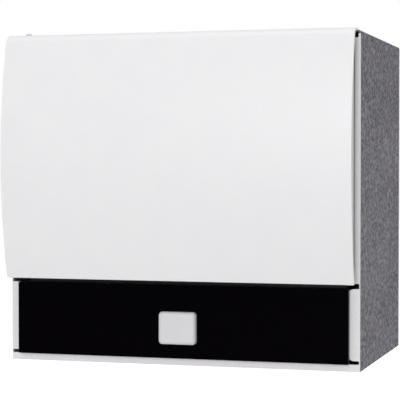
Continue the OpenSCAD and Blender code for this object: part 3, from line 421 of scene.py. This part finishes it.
def turned(bm, outline, centre, along, steps=72):
    """Turns an outline of (place along an axis, distance from it) into a round solid."""
    along = Vector(along)
    out = along.orthogonal().normalized()
    loop = [bm.verts.new(centre + along * reach + out * radius) for reach, radius in outline]
    edges = [bm.edges.new(pair) for pair in zip(loop, loop[1:])]
    if outline[0][1] > 0:
        edges.append(bm.edges.new((loop[-1], loop[0])))
    bmesh.ops.spin(bm, geom=loop + edges, cent=centre, axis=along, angle=2 * math.pi, steps=steps,
                   use_merge=True)
    bmesh.ops.remove_doubles(bm, verts=bm.verts[:], dist=merge_reach)
    bmesh.ops.recalc_face_normals(bm, faces=bm.faces[:])


def grooved(half, radius, bore, chamfer, pitch, width, depth):
    """The outline of a roller with shallow grooves along it."""
    outline = [(-half, bore), (-half, radius - chamfer), (-half + chamfer, radius)]
    for i in range(1, int(2 * half / pitch)):
        middle = -half + i * pitch
        outline += [(middle - width / 2, radius), (middle - width / 3, radius - depth),
                    (middle + width / 3, radius - depth), (middle + width / 2, radius)]
    return outline + [(half - chamfer, radius), (half, radius - chamfer), (half, bore)]


# Ground rubber is matt and dark, with a fine tooth and pale paper dust in places.
roller_rubber, tree, place = new_finish("ground_nitrile_rubber")
tooth = noise(tree, place, 0.8 * mm, 3.0)
dust = noise(tree, place, 18 * mm, 4.0)
share = add_node(tree, "ShaderNodeMapRange", {"Value": dust, "From Min": 0.45, "From Max": 0.75})
tint = blended(tree, share.outputs[0], "#232324", "#3b3a39")
relief = add_node(tree, "ShaderNodeBump", {"Strength": 0.3, "Distance": 0.08 * mm, "Height": tooth})
rubber = add_node(tree, "ShaderNodeBsdfPrincipled",
                  {"Base Color": tint, "Roughness": 0.82, "Normal": relief.outputs[0]})
add_node(tree, "ShaderNodeOutputMaterial", {"Surface": rubber.outputs[0]})

roller_centre = (roller_low + roller_high) / 2
bm = bmesh.new()
turned(bm, grooved((roller_high.x - roller_low.x) / 2, (roller_high.z - roller_low.z) / 2, roller_bore,
                   roller_chamfer, groove_pitch, groove_width, groove_depth), roller_centre, (1, 0, 0))
roller = finished("feed_roller_sleeve", bm, roller_rubber)
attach(roller, "feed")
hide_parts("feed_roller")
shaft = softened("feed_shaft_turned", "feed_shaft", pin_edge, bright_steel)
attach(shaft, "feed")
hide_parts("feed_shaft")

# Bushes, gears and knob of the feed train
# Flanged bushes in the chassis plates, the roller's gear and its idler, and a knob for feeding by hand.
# Bushes and gears are moulded in undyed nylon, and the ribbed knob in black nylon.
tooth_edge = 0.15 * mm
knob_edge = 0.4 * mm


def moulded_plastic(name, pale, deep, grain, roughness, relief_strength=0.25):
    """Moulded plastic: the tool's fine grain in its surface, and almost one colour throughout."""
    material, tree, place = new_finish(name)
    cloud = noise(tree, place, 25 * mm, 4.0)
    fine = noise(tree, place, grain, 2.0)
    tone = add_node(tree, "ShaderNodeMath", {0: cloud, 1: fine})
    share = add_node(tree, "ShaderNodeMapRange",
                     {"Value": tone.outputs[0], "From Min": 0.7, "From Max": 1.3})
    tint = blended(tree, share.outputs[0], deep, pale)
    gloss = add_node(tree, "ShaderNodeMapRange", {"Value": cloud, "From Min": 0.3, "From Max": 0.7,
                                                  "To Min": roughness - 0.05, "To Max": roughness + 0.05})
    relief = add_node(tree, "ShaderNodeBump",
                      {"Strength": relief_strength, "Distance": 0.05 * mm, "Height": fine})
    body = add_node(tree, "ShaderNodeBsdfPrincipled",
                    {"Base Color": tint, "Roughness": gloss.outputs[0],
                     "Normal": relief.outputs[0]})
    add_node(tree, "ShaderNodeOutputMaterial", {"Surface": body.outputs[0]})
    return material


natural_nylon = moulded_plastic("undyed_moulded_nylon", "#e9e4d4", "#dfd8c4", 1.2 * mm, 0.38)
black_nylon = moulded_plastic("black_moulded_nylon", "#1b1b1d", "#141416", 0.9 * mm, 0.5)
for node, body, width in (("feed_bushes", "cabinet", pin_edge), ("feed_gear", "feed", tooth_edge),
                          ("idler_gear", "idler", tooth_edge)):
    part = softened(node + "_moulded", node, width, natural_nylon)
    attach(part, body)
    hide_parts(node)
knob = softened("feed_knob_ribbed", "feed_knob", knob_edge, black_nylon)
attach(knob, "feed")
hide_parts("feed_knob")
stud = softened("idler_stud_turned", "idler_stud", pin_edge, bright_steel)
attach(stud, "cabinet")
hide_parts("idler_stud")

# Gear motor, its shaft and pinion
# A small motor with its gearbox on the left chassis plate, and a brass pinion pressed on its shaft.
# The can is drawn steel with a dull plating, and the pinion is cut from bar.
can_edge = 0.5 * mm

# Dull plating is a soft grey metal with faint stains.
motor_can, tree, place = new_finish("dull_plated_steel_can")
stain = noise(tree, place, 12 * mm, 5.0)
tint = blended(tree, stain, "#85878b", "#b3b5b8")
gloss = add_node(tree, "ShaderNodeMapRange", {"Value": stain, "To Min": 0.28, "To Max": 0.5})
metal = add_node(tree, "ShaderNodeBsdfPrincipled",
                 {"Base Color": tint, "Metallic": 1.0, "Roughness": gloss.outputs[0]})
add_node(tree, "ShaderNodeOutputMaterial", {"Surface": metal.outputs[0]})

# Cut brass is a warm yellow metal with a fine tool grain.
brass, tree, place = new_finish("machined_brass")
grain = noise(tree, place, 0.9 * mm, 3.0)
tint = blended(tree, grain, "#b08d4a", "#d6b878")
metal = add_node(tree, "ShaderNodeBsdfPrincipled",
                 {"Base Color": tint, "Metallic": 1.0, "Roughness": 0.3})
add_node(tree, "ShaderNodeOutputMaterial", {"Surface": metal.outputs[0]})

for node, body, slot, width, material in (
        ("gear_motor", "cabinet", "motor_can", can_edge, motor_can),
        ("motor_shaft", "pinion", "bright_steel", cut_edge, bright_steel),
        ("motor_pinion", "pinion", "brass", tooth_edge, brass)):
    part = softened(node + "_fitted", node, width, material)
    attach(part, body)
    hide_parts(node)

# Pinch roller and its carrier
# A free roller that presses the towel on the feed roller, in a rocking carrier on a rod across the chassis.
# Roller and carrier are moulded nylon, shaft and rod are steel, and two wound springs push the carrier.
pinch_low, pinch_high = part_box("pinch_roller")
pinch_pitch = 25 * mm
pinch_groove = 4 * mm
pinch_bore = 2.5 * mm
carrier_edge = 0.35 * mm
carrier_spring_wire = 0.9 * mm
carrier_spring_turns = 4
spring_reach = 107.25 * mm
wire_sides = 10
turn_steps = 24
closed_pitch = 1.05
grey_nylon = moulded_plastic("grey_moulded_nylon", "#a1a3a6", "#94969a", 1.1 * mm, 0.45)


def wound(bm, start, along, radius, wire, length, turns, closed=0.0):
    """Winds a wire along an axis, with closed turns at both ends if the real spring has them."""
    along = Vector(along)
    out = along.orthogonal().normalized()
    face = out.cross(along).to_track_quat("Z", "X").to_matrix().to_4x4()
    place = Matrix.Translation(start + out * radius) @ face
    ring = bmesh.ops.create_circle(bm, segments=wire_sides, radius=wire / 2, matrix=place)["verts"]
    geom = ring + list({e for v in ring for e in v.link_edges})
    first = [e for e in geom if isinstance(e, bmesh.types.BMEdge)]
    closed_length = closed * wire * closed_pitch
    for count, rise in ((closed, closed_length), (turns - 2 * closed, length - 2 * closed_length),
                        (closed, closed_length)):
        steps = round(turn_steps * count)
        if steps:
            geom = bmesh.ops.spin(bm, geom=geom, cent=start, axis=along, dvec=along * rise / steps,
                                  angle=2 * math.pi * count, steps=steps)["geom_last"]
    for end in (first, [e for e in geom if isinstance(e, bmesh.types.BMEdge)]):
        bmesh.ops.contextual_create(bm, geom=end)
    bmesh.ops.recalc_face_normals(bm, faces=bm.faces[:])


bm = bmesh.new()
turned(bm, grooved((pinch_high.x - pinch_low.x) / 2, (pinch_high.z - pinch_low.z) / 2, pinch_bore,
                   roller_chamfer, pinch_pitch, pinch_groove, groove_depth),
       (pinch_low + pinch_high) / 2, (1, 0, 0))
roller = finished("pinch_roller_moulded", bm, grey_nylon)
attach(roller, "pinch")
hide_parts("pinch_roller")
for node, body, slot, width, material in (
        ("pinch_carrier", "carrier", "black_nylon", carrier_edge, black_nylon),
        ("pinch_shaft", "carrier", "bright_steel", cut_edge, bright_steel),
        ("carrier_rod", "cabinet", "bright_steel", pin_edge, bright_steel)):
    part = softened(node + "_fitted", node, width, material)
    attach(part, body)
    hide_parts(node)
low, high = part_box("carrier_springs")
spring_radius = (high.z - low.z - carrier_spring_wire) / 2
bm = bmesh.new()
for side in (-1, 1):
    start = Vector((side * spring_reach, (low.y + high.y) / 2, (low.z + high.z) / 2))
    wound(bm, start, (side, 0, 0), spring_radius, carrier_spring_wire,
          high.x - carrier_spring_wire / 2 - spring_reach, carrier_spring_turns)
springs = finished("carrier_springs_wound", bm, bright_steel)
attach(springs, "cabinet")
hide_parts("carrier_springs")

# Towel chute and tear bar
# A guide below the rollers that leads the towel through the floor's slot, and a toothed bar along its front.
# The guide is moulded in black nylon, and the bar is stamped from bright strip and set in a groove.
chute_edge = 0.4 * mm
tear_edge = 0.1 * mm
for node, slot, width, material in (("towel_chute", "black_nylon", chute_edge, black_nylon),
                                    ("tear_bar", "bright_steel", tear_edge, bright_steel)):
    part = softened(node + "_fitted", node, width, material)
    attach(part, "cabinet")
    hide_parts(node)

# Battery tray, contacts and cells
# A moulded tray across the back of the floor pan with brass strip contacts and four large dry cells in a row.
# Each cell is a steel can in a plain printed sleeve that is shrunk over its rims.
tray_edge = 0.5 * mm
contact_edge = 0.12 * mm
cell_count = 4
cell_low, cell_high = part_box("battery_cells")
cell_radius = (cell_high.z - cell_low.z) / 2
cell_length = (cell_high.x - cell_low.x) / cell_count
can_radius = 0.8 * cell_radius
sleeve_round = 0.7 * mm
sleeve_low = 0.5 * mm
sleeve_high = cell_length - 2.6 * mm
stud_radius = 4.8 * mm
stud_low = cell_length - 1.9 * mm
stud_round = 0.4 * mm
tray = softened("battery_tray_moulded", "battery_tray", tray_edge, black_nylon)
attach(tray, "cabinet")
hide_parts("battery_tray")
contacts = softened("battery_contacts_bent", "battery_contacts", contact_edge, brass)
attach(contacts, "cabinet")
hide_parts("battery_contacts")
# Shrunk film is smooth and dark, with a slight ripple.
cell_sleeve, tree, place = new_finish("shrunk_sleeve_film")
ripple = noise(tree, place, 9 * mm, 2.0)
tint = blended(tree, ripple, "#33353c", "#43464e")
relief = add_node(tree, "ShaderNodeBump", {"Strength": 0.2, "Distance": 0.2 * mm, "Height": ripple})
film = add_node(tree, "ShaderNodeBsdfPrincipled",
                {"Base Color": tint, "Roughness": 0.24, "Normal": relief.outputs[0]})
add_node(tree, "ShaderNodeOutputMaterial", {"Surface": film.outputs[0]})
sleeves, cans = bmesh.new(), bmesh.new()
for i in range(cell_count):
    end = Vector((cell_low.x + i * cell_length, (cell_low.y + cell_high.y) / 2,
                  (cell_low.z + cell_high.z) / 2))
    turned(sleeves, [(sleeve_low, can_radius - cut_edge), (sleeve_low, cell_radius - sleeve_round),
                     (sleeve_low + sleeve_round, cell_radius), (sleeve_high - sleeve_round, cell_radius),
                     (sleeve_high, cell_radius - sleeve_round), (sleeve_high, can_radius - cut_edge)],
           end, (1, 0, 0))
    turned(cans, [(0, 0), (0, can_radius - sleeve_round), (sleeve_low, can_radius),
                  (sleeve_high + sleeve_low, can_radius),
                  (sleeve_high + sleeve_low, stud_radius + sleeve_round),
                  (stud_low, stud_radius), (cell_length - stud_round, stud_radius),
                  (cell_length, stud_radius - stud_round), (cell_length, 0)], end, (1, 0, 0))
sleeves = finished("battery_cell_sleeves", sleeves, cell_sleeve)
cans = finished("battery_cell_cans", cans, bright_steel)
for piece, slot in ((sleeves, "cell_sleeve"), (cans, "bright_steel")):
    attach(piece, "cabinet")
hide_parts("battery_cells")

# Roll arms and hubs
# Two arms on the back plate hold the roll by hubs in its core, and the right one springs out to load it.
# Arms and hubs are moulded plastic, the bracket is galvanised sheet, and pin and spring are steel.
arm_edge = 0.9 * mm
hub_edge = 0.35 * mm
arm_spring_wire = 1 * mm
arm_spring_turns = 6
closed_turns = 0.75
arm_plastic = moulded_plastic("pale_grey_moulded_plastic", "#dadadd", "#d1d1d5", 1.3 * mm, 0.44)
for node, body, slot, width, material in (
        ("roll_arm_left", "cabinet", "arm_plastic", arm_edge, arm_plastic),
        ("hub_left", "cabinet", "natural_nylon", hub_edge, natural_nylon),
        ("arm_bracket", "cabinet", "zinc_sheet", cut_edge, zinc_sheet),
        ("arm_pin", "cabinet", "bright_steel", pin_edge, bright_steel),
        ("roll_arm_right", "arm", "arm_plastic", arm_edge, arm_plastic),
        ("hub_right", "arm", "natural_nylon", hub_edge, natural_nylon)):
    part = softened(node + "_fitted", node, width, material)
    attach(part, body)
    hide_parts(node)
low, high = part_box("arm_spring")
bm = bmesh.new()
wound(bm, Vector(((low.x + high.x) / 2, (low.y + high.y) / 2, low.z + arm_spring_wire / 2)), (0, 0, 1),
      (high.x - low.x - arm_spring_wire) / 2, arm_spring_wire, high.z - low.z - arm_spring_wire,
      arm_spring_turns, closed=closed_turns)
spring = finished("arm_spring_wound", bm, bright_steel)
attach(spring, "cabinet")
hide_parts("arm_spring")

# Towel roll and its core
# One long sheet of paper, wound on a card tube, with the free edge of its last turn lying on it.
# The paper is creped and embossed with soft dimples, and its turns show as rings on the sawn ends.
roll_low, roll_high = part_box("towel_roll")
core_low, core_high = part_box("roll_core")
roll_centre = (roll_low + roll_high) / 2
roll_half = (roll_high.x - roll_low.x) / 2
roll_radius = (roll_high.z - roll_low.z) / 2
core_radius = (core_high.z - core_low.z) / 2
paper_lap = 0.35 * mm
paper_round = 1.2 * mm
lap_inset = 0.4 * mm
lap_turn = math.radians(335)
lap_steps = 120
roll_steps = 128
ring_pitch = 1.6 * mm
wave_radians = 20
# Crepe paper scatters light evenly; the rings are drawn wider than real turns so that they show. Its colour
# darkens with the relief's height, which is painted shade in the embossed dimples, with a random crepe tone
# over it.
# A wave node runs through 20 radians along a unit of length.
towel_paper, tree, place = new_finish("embossed_crepe_paper_painted_shade")
centred = add_node(tree, "ShaderNodeMapping", {"Vector": place, "Location": -roll_centre})
rings = add_node(tree, "ShaderNodeTexWave",
                 {"Vector": centred.outputs[0], "Scale": 2 * math.pi / (wave_radians * ring_pitch),
                  "Distortion": 1.5, "Detail": 2.0, "Detail Scale": 0.4},
                 wave_type="RINGS", rings_direction="X")
dimple = add_node(tree, "ShaderNodeTexVoronoi", {"Vector": place, "Scale": 1 / (5 * mm)},
                  feature="SMOOTH_F1")
crepe = noise(tree, place, 2.5 * mm, 4.0)
across = add_node(tree, "ShaderNodeSeparateXYZ", {0: place.node.outputs["Normal"]})
on_end = add_node(tree, "ShaderNodeMath", {0: across.outputs[0]}, operation="ABSOLUTE")
height = add_node(tree, "ShaderNodeMix", {0: on_end.outputs[0], 2: dimple.outputs[0], 3: rings.outputs[1]})
# The tone follows the relief's height: painted shade in the dimples, the rings on the ends, and the crepe's
# random tone.
tone = add_node(tree, "ShaderNodeMath", {0: height.outputs[0], 1: crepe}, operation="MULTIPLY")
tint = blended(tree, tone.outputs[0], "#d9d4c8", "#f0ece3")
relief = add_node(tree, "ShaderNodeBump",
                  {"Strength": 0.6, "Distance": 0.5 * mm, "Height": height.outputs[0]})
paper = add_node(tree, "ShaderNodeBsdfPrincipled",
                 {"Base Color": tint, "Roughness": 0.95, "Specular IOR Level": 0.2,
                  "Normal": relief.outputs[0]})
add_node(tree, "ShaderNodeOutputMaterial", {"Surface": paper.outputs[0]})
# Wound card is a soft brown with darker fibres.
core_card, tree, place = new_finish("wound_brown_card")
fibre = noise(tree, place, 1.5 * mm, 5.0)
tint = blended(tree, fibre, "#95704a", "#bd9a72")
relief = add_node(tree, "ShaderNodeBump", {"Strength": 0.3, "Distance": 0.1 * mm, "Height": fibre})
card = add_node(tree, "ShaderNodeBsdfPrincipled",
                {"Base Color": tint, "Roughness": 0.9, "Normal": relief.outputs[0]})
add_node(tree, "ShaderNodeOutputMaterial", {"Surface": card.outputs[0]})
bm = bmesh.new()
last_turn = roll_radius - paper_lap
lap = [bm.verts.new(roll_centre + Vector((x, 0, last_turn)))
       for x in (lap_inset - roll_half, roll_half - lap_inset)]
bmesh.ops.spin(bm, geom=[*lap, bm.edges.new(lap)], cent=roll_centre, axis=(1, 0, 0), angle=lap_turn,
               steps=lap_steps)
bmesh.ops.recalc_face_normals(bm, faces=bm.faces[:])
bmesh.ops.solidify(bm, geom=bm.faces[:], thickness=-paper_lap)
turned(bm, [(-roll_half, core_radius), (-roll_half, last_turn - paper_round),
            (paper_round - roll_half, last_turn), (roll_half - paper_round, last_turn),
            (roll_half, last_turn - paper_round), (roll_half, core_radius)],
       roll_centre, (1, 0, 0), roll_steps)
roll = finished("towel_roll_wound", bm, towel_paper)
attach(roll, "roll")
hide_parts("towel_roll")
core = softened("roll_core_tube", "roll_core", pin_edge, core_card)
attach(core, "roll")
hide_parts("roll_core")

# Fascia, its base and its top rail
# The black panel that hides the sensors, on a moulded base and a rail that stand on the floor pan.
# The panel is a dark plastic that passes infra-red light, and four screws hold the base from below.
panel_edge = 0.7 * mm
# Infra-red window plastic looks black and even; its fine etched face throws back very little light.
black_acrylic, tree, place = new_finish("etched_infrared_acrylic")
etch = noise(tree, place, 1.2 * mm, 3.0)
tint = blended(tree, etch, "#030204", "#070509")
gloss = add_node(tree, "ShaderNodeMapRange", {"Value": etch, "To Min": 0.25, "To Max": 0.45})
window = add_node(tree, "ShaderNodeBsdfPrincipled",
                  {"Base Color": tint, "Roughness": gloss.outputs[0], "Specular IOR Level": 0.003})
add_node(tree, "ShaderNodeOutputMaterial", {"Surface": window.outputs[0]})
for node, slot, width, material in (
        ("fascia", "black_acrylic", panel_edge, black_acrylic),
        ("fascia_base", "black_nylon", pin_edge, black_nylon),
        ("fascia_rail", "black_nylon", pin_edge, black_nylon),
        ("fascia_screws", "bright_steel", screw_edge, bright_steel)):
    part = softened(node + "_fitted", node, width, material)
    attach(part, "cabinet")
    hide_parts(node)

# Control board and what is on it
# The circuit board behind the fascia, with its components, an infra-red emitter and a receiver.
# It is glass-fibre laminate under green resist, held on the fascia's posts by four screws.
board_edge = 0.1 * mm
component_edge = 0.3 * mm
lens_edge = 0.08 * mm
island_pitch = 14 * mm
ring_share = 0.065
track_start = 0.035
track_full = 0.045
# Under the resist the copper shows as a paler pattern of tracks.
board_green, tree, place = new_finish("solder_resist_laminate")
turned_up = add_node(tree, "ShaderNodeMapping", {"Vector": place, "Rotation": (math.radians(90), 0, 0)})
island = add_node(tree, "ShaderNodeTexVoronoi", {"Vector": turned_up.outputs[0], "Scale": 1 / island_pitch},
                  voronoi_dimensions="2D", distance="CHEBYCHEV").outputs["Distance"]
ring = add_node(tree, "ShaderNodeMath", {0: island, 1: ring_share}, operation="PINGPONG")
track = add_node(tree, "ShaderNodeMapRange",
                 {"Value": ring.outputs[0], "From Min": track_start, "From Max": track_full})
tint = blended(tree, track.outputs[0], "#1b5431", "#3d7a48")
relief = add_node(tree, "ShaderNodeBump",
                  {"Strength": 0.4, "Distance": 0.05 * mm, "Height": track.outputs[0]})
resist = add_node(tree, "ShaderNodeBsdfPrincipled",
                  {"Base Color": tint, "Roughness": 0.3, "Normal": relief.outputs[0]})
add_node(tree, "ShaderNodeOutputMaterial", {"Surface": resist.outputs[0]})
lamp_resin = moulded_plastic("dark_clear_resin", "#33294a", "#2a213d", 2 * mm, 0.12, 0.05)
for node, slot, width, material in (
        ("control_board", "board_green", board_edge, board_green),
        ("board_parts", "black_nylon", component_edge, black_nylon),
        ("sensor_lamps", "lamp_resin", lens_edge, lamp_resin),
        ("board_screws", "bright_steel", screw_edge, bright_steel)):
    part = softened(node + "_fitted", node, width, material)
    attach(part, "cabinet")
    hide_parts(node)

# Feed pad, its guide, spring, clip and switch
# A pale square pad that is pressed to feed a towel: a moulded cap on a stem that slides in a guide plate.
# A wound spring returns it, a clip in the stem's groove stops it, and the stem's end works a switch.
pad_low, pad_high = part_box("feed_pad")
spring_low, spring_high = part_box("pad_spring")
clip_low, clip_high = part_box("pad_clip")
pad_depth = 12 * mm
pad_wall = 2.5 * mm
pad_corner = 3.5 * mm
pad_pillow = 4.6 * mm
pillow_steps = 10
stem_radius = 3 * mm
stem_round = 0.5 * mm
groove_radius = 2.2 * mm
pad_spring_wire = 0.8 * mm
pad_spring_turns = 6.5
pad_plastic = moulded_plastic("pale_moulded_plastic", "#d9d8db", "#d0cfd3", 0.9 * mm, 0.5)
pad_middle = Vector((0, pad_low.y, (pad_low.z + pad_high.z) / 2))
bm = bmesh.new()
outline = [(pad_low.x, pad_low.z), (pad_high.x, pad_low.z),
           (pad_high.x, pad_high.z), (pad_low.x, pad_high.z)]
face = bm.faces.new([bm.verts.new((x, pad_low.y, z)) for x, z in outline])
round_over(bm, list(face.verts), pad_corner, corner_steps, "VERTICES")
moved(bm, bmesh.ops.extrude_edge_only(bm, edges=bm.edges[:]), (0, pad_depth, 0))
bmesh.ops.recalc_face_normals(bm, faces=bm.faces[:])
round_over(bm, sharp_edges(bm), pad_pillow, pillow_steps)
bmesh.ops.solidify(bm, geom=bm.faces[:], thickness=pad_wall)
stem_end = pad_high.y - pad_low.y
groove = [clip_low.y - pad_low.y, clip_high.y - pad_low.y]
turned(bm, [(pad_wall / 2, 0), (pad_wall / 2, stem_radius), (groove[0], stem_radius),
            (groove[0], groove_radius), (groove[1], groove_radius), (groove[1], stem_radius),
            (stem_end - stem_round, stem_radius), (stem_end, stem_radius - stem_round), (stem_end, 0)],
       pad_middle, (0, 1, 0))
pad = finished("feed_pad_cap", bm, pad_plastic)
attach(pad, "pad")
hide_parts("feed_pad")
clip = softened("pad_clip_stamped", "pad_clip", tear_edge, bright_steel)
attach(clip, "pad")
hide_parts("pad_clip")
for node in ("pad_guide", "feed_switch"):
    part = softened(node + "_moulded", node, pin_edge, black_nylon)
    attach(part, "cabinet")
    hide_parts(node)
bm = bmesh.new()
spring_length = spring_high.y - spring_low.y
wound(bm, Vector((0, spring_low.y + pad_spring_wire / 2, pad_middle.z)), (0, 1, 0),
      (spring_high.x - spring_low.x - pad_spring_wire) / 2, pad_spring_wire, spring_length - pad_spring_wire,
      pad_spring_turns, closed=closed_turns)
spring = finished("pad_spring_wound", bm, bright_steel)
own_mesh(spring)
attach(spring, "cabinet")
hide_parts("pad_spring")

# Cover
# The bowed white front door, moulded in one piece with two cheeks that carry it on the hinge pins.
# Its top edge is well rounded, its back and underside are open, and its face has a faint moulded grain.
cover_low, cover_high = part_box("cover")
cover_wall = 2.5 * mm
cover_bulge = 14.5 * mm
bow_drop = 3 * mm
cover_round = 10 * mm
cheek_in = 3.5 * mm
moulded_edge = 0.8 * mm
bow_steps = 36
round_steps = 12
ear_radius = 7 * mm
hinge = Vector(next(j for j in frame["joints"] if j["name"] == "cover_hinge")["pos_m"])
cover_height = cover_high.z - cover_low.z
bow_radius = cover_height ** 2 / (8 * cover_bulge) + cover_bulge / 2
bow = Vector((0, cover_low.y + bow_radius, (cover_low.z + cover_high.z) / 2 - bow_drop))
crown_angle = math.asin((cover_high.z - cover_round - bow.z) / (bow_radius - cover_round))
crown = Vector((0, bow.y - (bow_radius - cover_round) * math.cos(crown_angle), cover_high.z - cover_round))
up_front = (-1, 0, 0)


def bow_start(inset):
    """The angle and the place, in Y and Z, at which the bow starts at the cover's lower edge."""
    angle = math.asin((cover_low.z - bow.z) / (bow_radius - inset))
    return angle, bow.y - (bow_radius - inset) * math.cos(angle), cover_low.z


white_abs = moulded_plastic("white_moulded_abs", "#eaeaeb", "#e7e7e9", 1.5 * mm, 0.42)
bm = bmesh.new()
first, start_y, start_z = bow_start(0)
ends = [bm.verts.new((x, start_y, start_z)) for x in (cover_low.x, cover_high.x)]
drawn = bmesh.ops.spin(bm, geom=[*ends, bm.edges.new(ends)], cent=bow, axis=up_front,
                       angle=crown_angle - first, steps=bow_steps)
drawn = bmesh.ops.spin(bm, geom=drawn["geom_last"], cent=crown, axis=up_front,
                       angle=math.pi / 2 - crown_angle, steps=round_steps)
last = [e for e in drawn["geom_last"] if isinstance(e, bmesh.types.BMEdge)]
moved(bm, bmesh.ops.extrude_edge_only(bm, edges=last), (0, cover_high.y - crown.y, 0))
bmesh.ops.recalc_face_normals(bm, faces=bm.faces[:])
bmesh.ops.solidify(bm, geom=bm.faces[:], thickness=cover_wall)
bmesh.ops.recalc_face_normals(bm, faces=bm.faces[:])
round_over(bm, sharp_edges(bm), moulded_edge)
for side in (-1, 1):
    known = set(bm.verts)
    first, start_y, start_z = bow_start(cover_wall / 2)
    corner = bm.verts.new((side * (cover_high.x - cheek_in), start_y, start_z))
    drawn = bmesh.ops.spin(bm, geom=[corner], cent=bow, axis=up_front,
                           angle=crown_angle - first, steps=bow_steps)
    bmesh.ops.spin(bm, geom=drawn["geom_last"], cent=crown, axis=up_front,
                   angle=math.pi / 2 - crown_angle, steps=round_steps)
    bm.verts.new((corner.co.x, cover_high.y, cover_high.z - cover_wall / 2))
    rear_low = bm.verts.new((corner.co.x, hinge.y + ear_radius, hinge.z))
    bmesh.ops.spin(bm, geom=[rear_low], cent=hinge, axis=up_front, angle=math.pi / 2, steps=round_steps)
    bm.verts.new((corner.co.x, hinge.y, cover_low.z))
    cheek = bm.faces.new([v for v in bm.verts if v not in known])
    solid = bmesh.ops.extrude_face_region(bm, geom=[cheek], use_keep_orig=True)
    moved(bm, solid, (-side * cover_wall, 0, 0))
bmesh.ops.recalc_face_normals(bm, faces=bm.faces[:])
cover = finished("cover_moulding", bm, white_abs)
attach(cover, "cover")
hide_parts("cover")

# Lock
# A small cam lock at the cover's top left: a barrel with a hexagon nut, and a plug with a keyway and a jaw.
# Both are zinc castings with a matt nickel plating.
barrel_low, barrel_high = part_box("lock_barrel")
barrel_radius = 3 * mm
barrel_bore = 1.85 * mm
barrel_chamfer = 0.5 * mm
head_taper = 1.1 * mm
nut_high = 3.5 * mm
nut_drop = 0.8 * mm
nut_edge = 0.4 * mm
nut_sides = 6
plug_edge = 0.12 * mm
# Matt nickel is a pale grey metal whose fine sanded surface spreads its highlights.
lock_metal, tree, place = new_finish("matt_nickel_plating")
cast = noise(tree, place, 1.5 * mm, 3.0)
tint = blended(tree, cast, "#aeadb0", "#c3c2c5")
metal = add_node(tree, "ShaderNodeBsdfPrincipled",
                 {"Base Color": tint, "Metallic": 1.0, "Roughness": 0.7})
add_node(tree, "ShaderNodeOutputMaterial", {"Surface": metal.outputs[0]})
barrel_foot = Vector(((barrel_low.x + barrel_high.x) / 2, (barrel_low.y + barrel_high.y) / 2, barrel_low.z))
barrel_length = barrel_high.z - barrel_low.z
nut_top = cover_high.z - cover_wall - nut_drop
bm = bmesh.new()
bmesh.ops.create_cone(bm, cap_ends=True, segments=nut_sides, radius1=barrel_high.x - barrel_foot.x,
                      radius2=barrel_high.x - barrel_foot.x, depth=nut_high,
                      matrix=Matrix.Translation((barrel_foot.x, barrel_foot.y, nut_top - nut_high / 2)))
round_over(bm, sharp_edges(bm), nut_edge, steps=2)
turned(bm, [(0, barrel_bore), (0, barrel_radius - barrel_chamfer), (barrel_chamfer, barrel_radius),
            (barrel_length - head_taper, barrel_radius), (barrel_length, barrel_radius - head_taper),
            (barrel_length, barrel_bore)], barrel_foot, (0, 0, 1))
barrel = finished("lock_barrel_cast", bm, lock_metal)
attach(barrel, "cover")
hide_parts("lock_barrel")
plug = softened("lock_plug_cast", "lock_plug", plug_edge, lock_metal)
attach(plug, "lock")
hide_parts("lock_plug")
